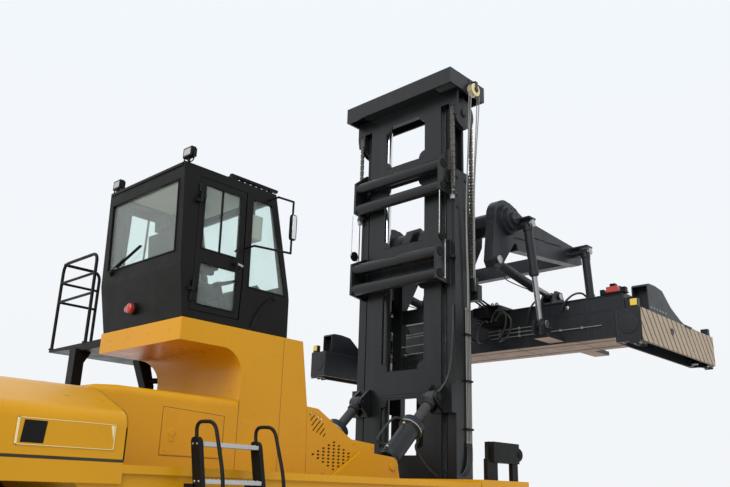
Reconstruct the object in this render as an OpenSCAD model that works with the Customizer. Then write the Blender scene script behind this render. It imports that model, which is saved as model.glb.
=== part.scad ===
// Mast-type container handler: a lift truck with a two-stage mast and a
// telescopic top-lift spreader. Millimetres, +Z up, +X towards the spreader,
// +Y to the machine's left. Sizes along X are measured from the drive axle,
// and the whole is then moved so that the origin is under the middle.

/* [Wheels and axles] */
// Distance between the drive axle and the steer axle
wheelbase = 5750; // [5500:10:6000]
// Outer diameter of every tyre
tyre_d = 1630; // [1590:5:1650]
// Width of one tyre
tyre_w = 500; // [460:5:510]
// Diameter of the rim under the tyre bead
rim_d = 650; // [620:5:700]
// Gap between the twin drive tyres
twin_gap = 24; // [20:1:40]
// Distance between the middles of the steered tyres
steer_track = 3240; // [3200:5:3300]
// Distance between the two kingpins
kingpin_track = 2240; // [2200:5:2260]
// Radius of a kingpin
kingpin_r = 45; // [40:1:50]
// Radius of a steered wheel's spindle
spindle_r = 70; // [60:1:75]

/* [Body] */
// Width over the body sides
body_w = 4100; // [4060:5:4200]
// Height of the deck's top above the ground
deck_z = 1830; // [1820:2:1840]
// Distance from the steer axle to the counterweight's rear face
rear_overhang = 1700; // [1600:10:1800]
// Height of the hood's top
hood_top = 2520; // [2480:5:2560]
// Distance from the drive axle back to the hood's front end
hood_front = 4720; // [4650:5:4800]
// Radius of the hood's long shoulders
shoulder_r = 240; // [180:5:280]
// Width of the pedestal, the inner covers and the cab at its belt
core_w = 1530; // [1500:5:1560]
// Sheet thickness of the covers
sheet = 12; // [8:1:16]
// Height of the cab floor, which is the pedestal's top
floor_z = 3250; // [3200:5:3300]
// Thickness of the shelf under the cab
shelf_t = 220; // [180:5:260]

/* [Cab] */
// Height of the cab roof's top
roof_z = 4840; // [4800:5:4880]
// Height of the crease round the cab
belt_z = 3760; // [3740:5:3780]
// Width of the cab at its roof
roof_w = 1460; // [1440:5:1500]
// Thickness of the cab's walls
cab_wall = 50; // [45:1:60]
// Thickness of the glass
glass_t = 8; // [6:1:10]

/* [Mast] */
// Width over the outer mast's posts
mast_w = 1810; // [1800:2:1830]
// Depth of an outer post, front to back
post_depth = 350; // [340:2:360]
// Distance from the drive axle to the posts' rear face
mast_x = 630; // [620:2:650]
// Height of the outer posts' top
outer_top = 6170; // [6150:5:6190]
// Height of the outer posts' foot
outer_foot = 300; // [280:5:320]
// Height of the crosshead's underside on the raised inner mast
head_z = 7400; // [7390:5:7410]
// Height of the inner mast's foot where the photograph's pose holds it
inner_foot = 1030; // [1020:5:1060]
// Height of the mast's tilt pin above the ground
tilt_pin_z = 620; // [600:5:640]
// Thickness of the posts' flanges and webs
post_t = 45; // [40:1:48]
// Running gap between the two mast stages
stage_gap = 10; // [8:1:12]
// Radius of the chain wheels
chain_wheel_r = 205; // [195:1:215]

/* [Spreader] */
// Length between the twistlocks, for a 20 ft container
lock_length = 5853; // [5850:1:5860]
// Width between the twistlocks
lock_width = 2259; // [2250:1:2270]
// Distance from the drive axle to the rear row of twistlocks
lock_x = 1750; // [1740:5:1780]
// Height of the twistlocks' tips
lock_z = 3560; // [3550:5:3600]
// Height of the spreader's main frame
frame_h = 620; // [600:5:640]
// Depth of the spreader's main frame
frame_d = 800; // [790:5:810]
// Height of the arms' pivot tube
pivot_z = 5560; // [5540:5:5580]

/* [Hidden] */
$fn = 64;
eps = 1;
axle_z = tyre_d / 2;
rear_x = -(wheelbase + rear_overhang);
end_beam_over = 100;
front_x = lock_x + lock_width + end_beam_over;
mid_x = (front_x + rear_x) / 2;
side_y = body_w / 2;
core_y = core_w / 2;
twin_y = side_y - tyre_w / 2;
inner_twin_y = twin_y - tyre_w - twin_gap;
steer_y = steer_track / 2;
kingpin_y = kingpin_track / 2;
seat_gap = 0.3;

amber = [0.84, 0.60, 0.12];
coal = [0.12, 0.12, 0.13];
mast_grey = [0.15, 0.15, 0.16];
slate = [0.22, 0.24, 0.27];
rubber = [0.06, 0.06, 0.06];
chrome = [0.75, 0.76, 0.78];
glass_green = [0.62, 0.78, 0.76, 0.5];

// Small building blocks

module box(x0, x1, y0, y1, z0, z1) {
    translate([x0, y0, z0]) cube([x1 - x0, y1 - y0, z1 - z0]);
}

module pair() {
    children();
    mirror([0, 1, 0]) children();
}

// A plate drawn as (x, z) points and raised along Y from y0 to y1
module side_plate(y0, y1) {
    translate([0, y1, 0]) rotate([90, 0, 0]) linear_extrude(y1 - y0) children();
}

// A plate drawn as (y, z) points and raised along X from x0 to x1
module cross_plate(x0, x1) {
    translate([x0, 0, 0]) rotate([90, 0, 90]) linear_extrude(x1 - x0) children();
}

module y_rod(x, z, y0, y1, r) {
    translate([x, y1, z]) rotate([90, 0, 0]) cylinder(h = y1 - y0, r = r);
}

module rounded_rect(w, h, r) {
    hull() for (sx = [-1, 1], sy = [-1, 1])
        translate([sx * (w / 2 - r), sy * (h / 2 - r)]) circle(r, $fn = 32);
}

// A straight tube or bar between two points
module bar(a, b, r) {
    d = b - a;
    len = norm(d);
    translate(a)
        rotate([0, acos(d[2] / len), atan2(d[1], d[0])])
            cylinder(h = len, r = r, $fn = 24);
}

// A bent tube: straight bars with a ball at each bend
module bent_tube(points, r) {
    for (i = [0 : len(points) - 2]) bar(points[i], points[i + 1], r);
    for (i = [1 : len(points) - 2]) translate(points[i]) sphere(r * 1.03, $fn = 24);
}

// Chassis: twin beams, narrow over the steer axle, with the mast's hooks in front

frame_y = 800;
frame_in = 620;
rear_frame_y = 500;
rear_frame_in = 330;
frame_z0 = 950;
frame_z1 = 1640;
frame_step = -4300;
pad_x = 200;
rear_frame_z0 = axle_z + 280;
tilt_pin_x = mast_x - 175;
hook_r = 100;
tilt_pin_r = 60;
hook_in = 640;
hook_out = 745;
ram_y = 670;
ram_pin_x = -510;
ram_pin_z = 1990;
ram_pin_r = 45;
ram_half = 60;
bracket_t = 36;
bracket_r = 110;
bracket_out = core_y + 5 + bracket_t;

module hook_outline() {
    difference() {
        hull() {
            translate([tilt_pin_x, tilt_pin_z]) circle(hook_r);
            translate([200, frame_z0 + 30]) square([60, 400]);
        }
        translate([tilt_pin_x, tilt_pin_z]) circle(tilt_pin_r + eps);
    }
}

module ram_bracket_outline() {
    difference() {
        union() {
            polygon([[-1640, frame_z1 - 60], [-1640, deck_z - 80], [-1040, ram_pin_z + 150],
                [ram_pin_x, ram_pin_z + bracket_r], [ram_pin_x + bracket_r, ram_pin_z],
                [-300, frame_z1 - 60]]);
            translate([ram_pin_x, ram_pin_z]) circle(bracket_r);
        }
        translate([ram_pin_x, ram_pin_z]) circle(ram_pin_r + eps);
    }
}

module chassis() {
    color(amber) difference() {
        union() {
            pair() {
                box(frame_step, 230, frame_in, frame_y, frame_z0, frame_z1);
                box(rear_x + 450, frame_step + eps, rear_frame_in, rear_frame_y, rear_frame_z0, frame_z1);
                side_plate(hook_in, hook_out) hook_outline();
                for (y = [ram_y - ram_half - bracket_t - 5, core_y + 5])
                    side_plate(y, y + bracket_t) ram_bracket_outline();
                // Ledge that carries the inner bracket plate on the beam
                box(-1600, -340, ram_y - ram_half - bracket_t - 5, frame_in + 20,
                    frame_z1 - 60, frame_z1 - 20);
            }
            box(frame_step, frame_step + 200, -frame_y, frame_y, frame_z0, frame_z1);
            for (x = [-3300, -1900, -700])
                box(x, x + 140, -frame_in - eps, frame_in + eps, frame_z0 + 150, frame_z1 - 150);
            box(-wheelbase - 300, -wheelbase + 300, -rear_frame_in - eps, rear_frame_in + eps,
                rear_frame_z0 + 60, frame_z1 - 120);
        }
        box(-pad_x - 10, pad_x + 10, -frame_y - 10, frame_y + 10, frame_z0 - 10, axle_z + 270);
    }
    color(coal) pair() y_rod(ram_pin_x, ram_pin_z, ram_y - ram_half - bracket_t - 25,
        core_y + bracket_t + 25, ram_pin_r);
}

// Drive axle: a banjo housing hung under the frame, hubs at its ends

hub_r = 170;
hub_end_y = side_y - 140;
drive_hub_y = inner_twin_y - tyre_w / 2;

module drive_axle() {
    color(coal) difference() {
        union() {
            y_rod(0, axle_z, -hub_end_y, hub_end_y, hub_r - eps);
            y_rod(0, axle_z, -drive_hub_y + 40, drive_hub_y - 40, 230);
            translate([0, 0, axle_z]) sphere(360);
            pair() box(-pad_x, pad_x, frame_in + 10, frame_y - 10, axle_z, axle_z + 270 - seat_gap);
        }
        box(-400, 400, -400, 400, axle_z - 380, axle_z - 340);
    }
}

// Steer axle: a beam with forks for the kingpins

fork_t = 60;
knuckle_h = 340;
fork_gap = 4;
fork_z = axle_z - knuckle_h / 2 - fork_gap;
fork_top_z = axle_z + knuckle_h / 2 + fork_gap;
fork_r = 110;

module fork_leaf(z) {
    translate([0, 0, z]) linear_extrude(fork_t) hull() {
        translate([-wheelbase, kingpin_y]) circle(fork_r);
        translate([-wheelbase - 170, 640]) square([340, 60]);
    }
}

module steer_axle() {
    color(coal) {
        box(-wheelbase - 170, -wheelbase + 170, -700, 700, fork_z - fork_t, fork_top_z + fork_t);
        pair() {
            fork_leaf(fork_z - fork_t);
            fork_leaf(fork_top_z);
            translate([-wheelbase, kingpin_y, fork_z - fork_t - 20])
                cylinder(h = fork_top_z - fork_z + 2 * fork_t + 40, r = kingpin_r);
        }
        box(-wheelbase - 120, -wheelbase + 120, -200, 200, fork_top_z + fork_t - eps,
            rear_frame_z0 + 60 - seat_gap);
    }
}

module knuckle() {
    block_r = 105;
    color(coal) difference() {
        union() {
            translate([-wheelbase, kingpin_y, axle_z - knuckle_h / 2])
                cylinder(h = knuckle_h, r = block_r);
            y_rod(-wheelbase, axle_z, kingpin_y + block_r - 30, kingpin_y + 200, 120);
            y_rod(-wheelbase, axle_z, kingpin_y + 100, steer_y - 20, spindle_r);
        }
        translate([-wheelbase, kingpin_y, 0]) cylinder(h = 3000, r = kingpin_r + 0.5);
    }
}

module knuckle_left() { knuckle(); }
module knuckle_right() { mirror([0, 1, 0]) knuckle(); }

// Tyres: one carcass profile turned round the axle, with lugs on its shoulders

// Count of lugs on each shoulder, and the share of the tread that they fill
lug_count = 24;
lug_share = 0.42;
// Height of the lugs over the carcass, and their depth down the sidewall
lug_h = 34;
lug_depth = 112;
// How far a lug runs from the tread's middle outwards, and over the middle
lug_reach = tyre_w / 2 - 19;
lug_over = 18;
// How far a lug's outer end trails its inner end round the tyre
lug_skew = 55;
// The rim's lip, which the tyre's bead sits inside
rim_half = tyre_w * 0.4;
lip_t = 6;
lip_h = 25;
bead_half = rim_half - lip_t - seat_gap;

module tyre_profile(w) {
    r = tyre_d / 2;
    hw = w / 2;
    polygon([[rim_d / 2, -bead_half], [rim_d / 2 + lip_h + 5, -bead_half], [rim_d / 2 + 60, -hw * 0.84],
        [r * 0.72, -hw], [r - 130, -hw * 0.98], [r - lug_h - 20, -hw * 0.86], [r - lug_h, -hw * 0.7],
        [r - lug_h, hw * 0.7], [r - lug_h - 20, hw * 0.86], [r - 130, hw * 0.98], [r * 0.72, hw],
        [rim_d / 2 + 60, hw * 0.84], [rim_d / 2 + lip_h + 5, bead_half], [rim_d / 2, bead_half]]);
}

// A lug's footprint on the tread: x runs round the tyre, y across it
module lug_footprint() {
    half = PI * tyre_d / lug_count * lug_share / 2;
    trail = lug_skew * lug_over / lug_reach;
    polygon([[-half - trail, lug_over], [half - trail, lug_over],
        [half + lug_skew, -lug_reach], [-half + lug_skew, -lug_reach]]);
}

// The tyre stands round +Z; its lugs lie slanted, in two rows half a pitch apart
module tyre() {
    r = tyre_d / 2;
    color(rubber) {
        rotate_extrude($fn = 72) tyre_profile(tyre_w);
        intersection() {
            cylinder(h = tyre_w, r = r, center = true);
            for (side = [0, 1], i = [0 : lug_count - 1])
                rotate((i + side / 2) * 360 / lug_count) mirror([0, 0, side])
                    translate([r - lug_depth, 0, 0]) rotate([90, 0, 90])
                        linear_extrude(lug_depth + 20) lug_footprint();
        }
    }
}

module at_wheel(x, y) {
    translate([x, y, axle_z]) rotate([-90, 0, 0]) children();
}

module drive_tyres_left() { for (y = [inner_twin_y, twin_y]) at_wheel(0, y) tyre(); }
module drive_tyres_right() { mirror([0, 1, 0]) drive_tyres_left(); }
module steer_tyre_left() { at_wheel(-wheelbase, steer_y) tyre(); }
module steer_tyre_right() { mirror([0, 1, 0]) steer_tyre_left(); }

// A rim barrel with its flanges and a dished disc; z is along the axle, outward
module rim_barrel() {
    lip_r = rim_d / 2 + lip_h;
    well_r = rim_d / 2 - seat_gap;
    rotate_extrude($fn = 64) polygon([[rim_d / 2 - 30, -rim_half], [lip_r, -rim_half],
        [lip_r, -rim_half + lip_t], [well_r, -rim_half + lip_t], [well_r, rim_half - lip_t],
        [lip_r, rim_half - lip_t], [lip_r, rim_half], [rim_d / 2 - 30, rim_half]]);
}

module stud_ring(z, r, count, size, h) {
    for (i = [0 : count - 1]) rotate(i * 360 / count)
        translate([r, 0, z]) cylinder(h = h, r = size, $fn = 6);
}

module drive_rims_left() {
    color(amber) difference() {
        union() {
            for (y = [inner_twin_y, twin_y]) at_wheel(0, y) rim_barrel();
            at_wheel(0, 0) {
                translate([0, 0, inner_twin_y - rim_half])
                    cylinder(h = twin_y - inner_twin_y + rim_half + 60, r = hub_r + 40);
                translate([0, 0, inner_twin_y]) cylinder(h = 30, r = rim_d / 2 - 25);
                translate([0, 0, twin_y]) cylinder(h = 30, r = rim_d / 2 - 25);
                translate([0, 0, twin_y + 30]) stud_ring(0, 250, 20, 16, 22);
                translate([0, 0, hub_end_y + seat_gap]) cylinder(h = 60, r = hub_r);
            }
        }
        at_wheel(0, 0) cylinder(h = hub_end_y + seat_gap, r = hub_r);
    }
}
module drive_rims_right() { mirror([0, 1, 0]) drive_rims_left(); }

module steer_rim_left() {
    hub_in = -110;
    color(amber) difference() {
        at_wheel(-wheelbase, steer_y) union() {
            rim_barrel();
            translate([0, 0, 60]) cylinder(h = 30, r = rim_d / 2 - 25);
            translate([0, 0, hub_in]) cylinder(h = 290, r = 150);
            translate([0, 0, 90]) stud_ring(0, 250, 20, 16, 22);
        }
        at_wheel(-wheelbase, steer_y) translate([0, 0, hub_in - eps])
            cylinder(h = -hub_in - 20 + 2 * eps + seat_gap, r = spindle_r + 0.5);
    }
}
module steer_rim_right() { mirror([0, 1, 0]) steer_rim_left(); }

// Counterweight: a cast block between the sides, with a recessed drawbar pin

weight_z0 = 480;
weight_top = 1840;
draw_pin_r = 35;
jaw_x = rear_x + 120;
jaw_z = 890;
jaw_gap = 100;
jaw_t = 40;

module counterweight_outline() {
    polygon([[rear_x, 760], [rear_x + 180, weight_z0], [-wheelbase - 1150, weight_z0],
        [-wheelbase - 1150, weight_top], [rear_x + 120, weight_top], [rear_x, weight_top - 120]]);
}

module counterweight() {
    color(amber) difference() {
        union() {
            side_plate(-side_y, side_y) counterweight_outline();
            box(hood_rear + 5, -wheelbase - 1150, -side_y + 5, side_y - 5, weight_top - 90,
                hood_z0 - seat_gap);
        }
        box(rear_x - eps, rear_x + 260, -150, 150, 640, 1300);
        // The drawbar's pin is knocked out through a hole in the pocket's lip
        translate([jaw_x, 0, weight_z0]) cylinder(h = 200, r = draw_pin_r + 4);
        pair() box(rear_x + 450 - seat_gap, 0, rear_frame_in - 5, rear_frame_y + 5,
            rear_frame_z0 - 5, frame_z1 + 5);
    }
    // Towing jaw inside the pocket
    color(amber) difference() {
        for (z = [jaw_z - jaw_gap / 2 - jaw_t, jaw_z + jaw_gap / 2])
            box(jaw_x - 75, rear_x + 260 + eps, -75, 75, z, z + jaw_t);
        translate([jaw_x, 0, jaw_z - 200]) cylinder(h = 400, r = draw_pin_r);
    }
}

// Engine and gearbox, as one block on the frame

module engine() {
    color(coal) {
        box(-wheelbase - 700, -wheelbase + 700, -rear_frame_in + 20, rear_frame_in - 20,
            frame_z1 - 120 + seat_gap, hood_top - 180);
    }
}

// Hood: an open-bottomed shell over the full width, with round shoulders

hood_z0 = 1860;
hood_rear = rear_x + 60;

module hood_section(inset) {
    y = side_y - inset;
    z = hood_top - inset;
    r = shoulder_r;
    hull() {
        translate([-y, hood_z0 - (inset > 0 ? 50 : 0)]) square([2 * y, 60]);
        for (s = [-1, 1]) translate([s * (y - r), z - r - 90]) circle(r, $fn = 48);
        translate([-y + 900, z - 40]) square([2 * y - 1800, 40]);
    }
}

// The radiator's outlet in the rear wall, with slats set across it
grille_half = 760;
grille_z0 = 1950;
grille_z1 = 2330;
slat_pitch = 42;

module grille_slats() {
    for (z = [grille_z0 + 10 : slat_pitch : grille_z1 - 30])
        side_plate(-grille_half - 6, grille_half + 6)
            polygon([[hood_rear + 1, z], [hood_rear + 5, z],
                [hood_rear + 34, z + 26], [hood_rear + 30, z + 26]]);
}

module hood() {
    color(amber) difference() {
        cross_plate(hood_rear, -hood_front) hood_section(0);
        cross_plate(hood_rear + sheet, -hood_front - sheet) hood_section(sheet);
        pair() for (i = [0 : 7])
            box(-wheelbase - 1300 + i * 60, -wheelbase - 1270 + i * 60, side_y - 60, side_y + 60, 2000, 2170);
        box(hood_rear - eps, hood_rear + sheet + eps, -grille_half, grille_half, grille_z0, grille_z1);
    }
    color(coal) grille_slats();
}

// Front body between the hood and the pedestal, with rounded top edges

body_top = 2540;
edge_r = 90;
column_rear = -2790;

module front_body_section(inset) {
    y = core_y - inset;
    z = body_top - inset;
    hull() {
        translate([-y, deck_z + (inset > 0 ? -50 : 0)]) square([2 * y, 60]);
        for (s = [-1, 1]) translate([s * (y - edge_r), z - edge_r]) circle(edge_r, $fn = 32);
    }
}

module front_body() {
    color(amber) difference() {
        cross_plate(-hood_front + seat_gap, column_rear - seat_gap) front_body_section(0);
        cross_plate(-hood_front - eps, column_rear - sheet) front_body_section(sheet);
    }
}

// Side tanks and lockers under the deck on both sides

tank_in = 850;
tank_z0 = 720;
arch_r = 1120;
lock_reach = norm([tyre_d / 2, steer_y + tyre_w / 2 - kingpin_y]);
tank_front = -950;
panel_t = 60;

module tank_outline() {
    difference() {
        polygon([[-wheelbase + 200, deck_z - 60], [-wheelbase + 200, tank_z0 + 300],
            [-hood_front + 300, tank_z0], [tank_front, tank_z0], [tank_front, deck_z - 60]]);
        // The tyre's reach round its kingpin at full lock, at every height
        translate([-wheelbase, axle_z]) circle(lock_reach + 22, $fn = 96);
    }
}

module side_tanks() {
    color(amber) pair() {
        side_plate(tank_in, side_y - 30) tank_outline();
        // Deck plate, and the fender panel over the steered wheel
        difference() {
            box(-hood_front, -480, frame_y - 40, side_y, deck_z - 60, deck_z);
            box(-1650, -480 + eps, frame_y - 50, bracket_out + 6, deck_z - 70, deck_z + 10);
        }
        side_plate(side_y - panel_t, side_y) difference() {
            polygon([[-wheelbase - 1140, 1700], [-hood_front - seat_gap, 1700],
                [-hood_front - seat_gap, hood_z0 - 20], [-wheelbase - 1140, hood_z0 - 20]]);
            translate([-wheelbase, axle_z - 230]) circle(arch_r, $fn = 96);
        }
        box(-wheelbase - 1140, -hood_front - seat_gap, rear_frame_in, side_y, 1755, hood_z0 - 20);
        // Strip that the hood's edge sits on, set back as a dark seam
        box(-wheelbase - 1140, -hood_front - 4, side_y - 90, side_y - 5,
            hood_z0 - 40, hood_z0 - seat_gap);
        box(-hood_front - 10, -hood_front + 60, tank_in, side_y - 30, 1700, deck_z - 10);
    }
}

// Front fenders: a box section over each pair of drive tyres, with its lamp stand

fender_x0 = -460;
fender_x1 = 470;
fender_z0 = 1670;
fender_top = 1860;

module front_fenders() {
    color(amber) pair() difference() {
        box(fender_x0, fender_x1, core_y + 5, side_y, fender_z0, fender_top);
        box(fender_x0 + 20, fender_x1 - 20, core_y + 40, side_y - 20, fender_z0 - eps, fender_top - 20);
        // Room for the tilt cylinder's bracket plate
        box(fender_x0 - eps, -290, core_y, bracket_out + 6, fender_z0 - eps, fender_top + eps);
    }
    // Feet that stand on the frame's beams
    color(amber) pair() box(-240, 180, frame_y - 90, core_y + 38, frame_z1 + seat_gap, fender_z0 + 20);
    color(coal) pair() {
        for (x = [-150, 420]) bar([x, 1900, fender_top - 5], [x, 1900, 2240], 20);
        box(120, 420, 1840, 1960, 2060, 2260);
        translate([410, 1900, 2160]) rotate([0, 90, 0]) cylinder(h = 40, r = 75);
    }
}

// Pedestal: a hollow column with a shelf that reaches back under the cab

shelf_rear = -3550;
column_front_low = -1850;
column_front_top = -1980;
fillet_r = 250;

module pedestal_outline(inset) {
    t = inset;
    difference() {
        polygon([[shelf_rear + t, floor_z - t], [shelf_rear + t, floor_z - shelf_t + t],
            [column_rear + t, floor_z - shelf_t + t], [column_rear + t, deck_z - (t > 0 ? 50 : 0)],
            [column_front_low - t, deck_z - (t > 0 ? 50 : 0)], [column_front_low - t - 20, 2550],
            [column_front_top - t, floor_z - t]]);
    }
    difference() {
        translate([column_rear - fillet_r + t, floor_z - shelf_t - fillet_r + t])
            square(fillet_r + 10);
        translate([column_rear - fillet_r + t, floor_z - shelf_t - fillet_r + t]) circle(fillet_r);
    }
}

module pedestal() {
    color(amber) difference() {
        side_plate(-core_y, core_y) pedestal_outline(0);
        side_plate(-core_y + sheet, core_y - sheet) pedestal_outline(sheet);
    }
}

// Perforated covers in front of the pedestal, one each side

module cover_outline() {
    polygon([[column_front_low + 6, deck_z], [column_front_low - 18, 2560], [-1700, 2550],
        [-1170, 2260], [-780, 2230], [-780, deck_z]]);
}

module front_covers() {
    color(amber) pair() side_plate(core_y - sheet, core_y) difference() {
        cover_outline();
        for (i = [0 : 5]) translate([-1640 + i * 60, 2400 - i * 32]) rotate(60)
            square([130, 16], center = true);
        for (row = [0 : 8], k = [0 : 8])
            if (abs(row - 4) + abs(k - 4) < 6 - ((row + k) % 2))
                translate([-1500 + k * 42, 1930 + row * 30]) circle(8, $fn = 8);
    }
}

// Cab: a shell of walls with window cut-outs, drawn as a side outline

cab_rear_roof = -3680;
cab_rear_belt = -3630;
cab_rear_floor = -3540;
cab_front_roof = -2470;
cab_front_belt = -2220;
cab_front_floor = -2200;
cab_z0 = floor_z + seat_gap;
door_rear = cab_rear_floor + cab_wall + 20;
door_front = -2880;
door_z0 = floor_z + 90;
door_z1 = roof_z - 110;

module cab_side_outline(t) {
    polygon([[cab_rear_roof + t, roof_z - t], [cab_rear_belt + t, belt_z],
        [cab_rear_floor + t, cab_z0 + t], [cab_front_floor - t, cab_z0 + t],
        [cab_front_belt - t, belt_z - 90], [cab_front_roof - t, roof_z - t]]);
}

module cab_front_section(t) {
    polygon([[-roof_w / 2 + t, roof_z + 10], [-core_y + t, belt_z], [-core_y + t + 20, cab_z0 - 10],
        [core_y - t - 20, cab_z0 - 10], [core_y - t, belt_z], [roof_w / 2 - t, roof_z + 10]]);
}

module cab_volume(t) {
    intersection() {
        side_plate(-core_y, core_y) cab_side_outline(t);
        cross_plate(cab_rear_roof - 10, cab_front_floor + 10) cab_front_section(t);
    }
}

door_gap = 6;
door_front_gap = 16;
// The door's middle rail, and the width of the frame round its panes
rail_z = 3900;
rail_half = 70;
pane_in = 60;
// Hinges: barrels that stand off the door's rear edge
hinge_r = 14;
hinge_pin_r = 7;
hinge_y = core_y + 20;
hinge_h = 70;
hinge_z = [3560, 4480];
// The rear wall leans out from the floor up to the crease
rear_lean = atan2(cab_rear_floor - cab_rear_belt, belt_z - cab_z0);

module door_outline() {
    translate([door_rear, door_z0]) square([door_front - door_rear, door_z1 - door_z0]);
}

module door_opening() {
    translate([door_rear - door_gap, door_z0 - door_gap])
        square([door_front - door_rear + door_gap + door_front_gap, door_z1 - door_z0 + 2 * door_gap]);
}

module quarter_outline() {
    polygon([[door_front + 90, roof_z - 150], [door_front + 90, belt_z - 60],
        [cab_front_belt - 60, belt_z - 60], [cab_front_roof - 50, roof_z - 150]]);
}

// The shell's half of a hinge: a leaf, a barrel under the door's, and the pin
module hinge_post(z) {
    box(door_rear - 56, door_rear - 8, core_y - 45, hinge_y, z - 38, z - 6);
    translate([door_rear, hinge_y, z - 42]) cylinder(h = 40, r = hinge_r);
    translate([door_rear, hinge_y, z - 10]) cylinder(h = hinge_h - 10, r = hinge_pin_r);
}

module cab_shell() {
    color(coal) pair() for (z = hinge_z) hinge_post(z);
    color(coal) difference() {
        cab_volume(0);
        cab_volume(cab_wall);
        side_plate(-core_y - 10, core_y + 10) {
            door_opening();
            quarter_outline();
        }
        // Rear window and windscreen
        cross_plate(cab_rear_roof - 60, cab_rear_roof + 200)
            translate([0, (roof_z + belt_z) / 2 - 10]) square([core_w - 240, 760], center = true);
        cross_plate(cab_front_roof - 120, cab_front_belt + 60)
            translate([0, (roof_z + belt_z) / 2 - 20]) square([core_w - 200, 940], center = true);
    }
}

module cab_glass() {
    color(glass_green) {
        // Side quarter panes, seated on the inside of the walls
        pair() intersection() {
            cab_volume(cab_wall * 0.4);
            side_plate(0, core_y + 10) quarter_outline();
            difference() {
                cab_volume(cab_wall * 0.4);
                cab_volume(cab_wall * 0.4 + glass_t);
            }
        }
        intersection() {
            difference() {
                cab_volume(cab_wall * 0.4);
                cab_volume(cab_wall * 0.4 + glass_t);
            }
            union() {
                cross_plate(cab_rear_roof - 60, cab_rear_roof + 120)
                    translate([0, (roof_z + belt_z) / 2 - 10]) square([core_w - 240, 760], center = true);
                cross_plate(cab_front_roof - 60, cab_front_belt + 60)
                    translate([0, (roof_z + belt_z) / 2 - 20]) square([core_w - 200, 940], center = true);
            }
        }
    }
}

module door_panes() {
    w = door_front - door_rear - 2 * pane_in;
    translate([door_rear + pane_in, rail_z + rail_half])
        square([w, door_z1 - pane_in - rail_z - rail_half]);
    translate([door_rear + pane_in, door_z0 + pane_in])
        square([w, rail_z - rail_half - door_z0 - pane_in]);
}

module door() {
    color(coal) difference() {
        union() {
            intersection() {
                difference() {
                    cab_volume(0);
                    cab_volume(cab_wall);
                }
                side_plate(0, core_y + 10) door_outline();
            }
            for (z = hinge_z) {
                box(door_rear + 8, door_rear + 50, core_y - 45, hinge_y, z + 5, z + hinge_h - 5);
                translate([door_rear, hinge_y, z]) cylinder(h = hinge_h, r = hinge_r);
            }
        }
        side_plate(0, core_y + 10) door_panes();
        translate([door_rear, hinge_y, door_z0]) cylinder(h = door_z1 - door_z0, r = hinge_pin_r + 0.5);
    }
    color(coal) translate([door_front - 130, core_y - 20, rail_z]) rotate([-90, 0, 0])
        cylinder(h = 58, r = 16);
}

module door_glass() {
    color(glass_green) intersection() {
        difference() {
            cab_volume(cab_wall * 0.4);
            cab_volume(cab_wall * 0.4 + glass_t);
        }
        side_plate(0, core_y + 10) door_panes();
    }
}

module door_left() { door(); }
module door_right() { mirror([0, 1, 0]) door(); }
module door_left_glass() { door_glass(); }
module door_right_glass() { mirror([0, 1, 0]) door_glass(); }

// Slatted guard that stands off the front half of the roof

module roof_guard() {
    z = roof_z + seat_gap;
    color(coal) {
        pair() {
            box(-3060, -2990, roof_w / 2 - 90, roof_w / 2 - 40, z, z + 70);
            box(-3060, cab_front_roof + 60, roof_w / 2 - 90, roof_w / 2 - 50, z + 50, z + 80);
            box(cab_front_roof - 60, cab_front_roof - 20, roof_w / 2 - 90, roof_w / 2 - 50, z, z + 60);
        }
        for (i = [0 : 7])
            box(-3040 + i * 80, -3010 + i * 80, -roof_w / 2 + 60, roof_w / 2 - 60, z + 55, z + 75);
    }
}

module cab_lamps() {
    color(coal) pair() {
        translate([cab_rear_roof + 60, roof_w / 2 - 60, roof_z + seat_gap]) cylinder(h = 40, r = 15);
        translate([cab_rear_roof + 60, roof_w / 2 - 60, roof_z + 85]) rotate([0, -90, 0])
            linear_extrude(45, center = true) rounded_rect(120, 90, 20);
    }
    // Red lamp, square to the leaning rear wall
    z = 3470;
    x = cab_rear_floor - tan(rear_lean) * (z - cab_z0);
    color("red") translate([x, 240, z]) rotate([0, -90 - rear_lean, 0])
        translate([0, 0, seat_gap]) cylinder(h = 110, r = 55);
}

// How far out the cab's side wall lies at a height above the crease
function cab_side_y(z) = core_y - (core_y - roof_w / 2) * (z - belt_z) / (roof_z + 10 - belt_z);

module mirror_hoop() {
    y = -core_y - 130;
    off = seat_gap + 0.5;
    color(coal) {
        bent_tube([[-2570, -cab_side_y(4740) - off, 4740], [-2570, y, 4740], [-2350, y, 4750],
            [-2350, y, 4150], [-2850, y, 4110], [-2850, -cab_side_y(4110) - off, 4110]], 12);
    }
}

seat_x = -3080;
seat_z = floor_z + cab_wall;

module seat() {
    color(coal) {
        translate([seat_x, 0, seat_z + 2 * seat_gap]) cylinder(h = 350, r = 150);
        box(seat_x - 250, seat_x + 270, -250, 250, seat_z + 330, seat_z + 450);
        // Backrest, neck and headrest lean back
        side_plate(-240, 240) polygon([[seat_x - 290, seat_z + 390], [seat_x - 180, seat_z + 390],
            [seat_x - 255, seat_z + 990], [seat_x - 345, seat_z + 990]]);
        side_plate(-60, 60) polygon([[seat_x - 315, seat_z + 970], [seat_x - 285, seat_z + 970],
            [seat_x - 297, seat_z + 1040], [seat_x - 327, seat_z + 1040]]);
        side_plate(-130, 130) polygon([[seat_x - 345, seat_z + 1020], [seat_x - 270, seat_z + 1020],
            [seat_x - 295, seat_z + 1180], [seat_x - 355, seat_z + 1180]]);
        // Armrests on their brackets
        pair() {
            box(seat_x - 150, seat_x + 150, 270, 330, seat_z + 570, seat_z + 630);
            box(seat_x - 130, seat_x - 90, 230, 290, seat_z + 430, seat_z + 600);
        }
    }
}

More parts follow.
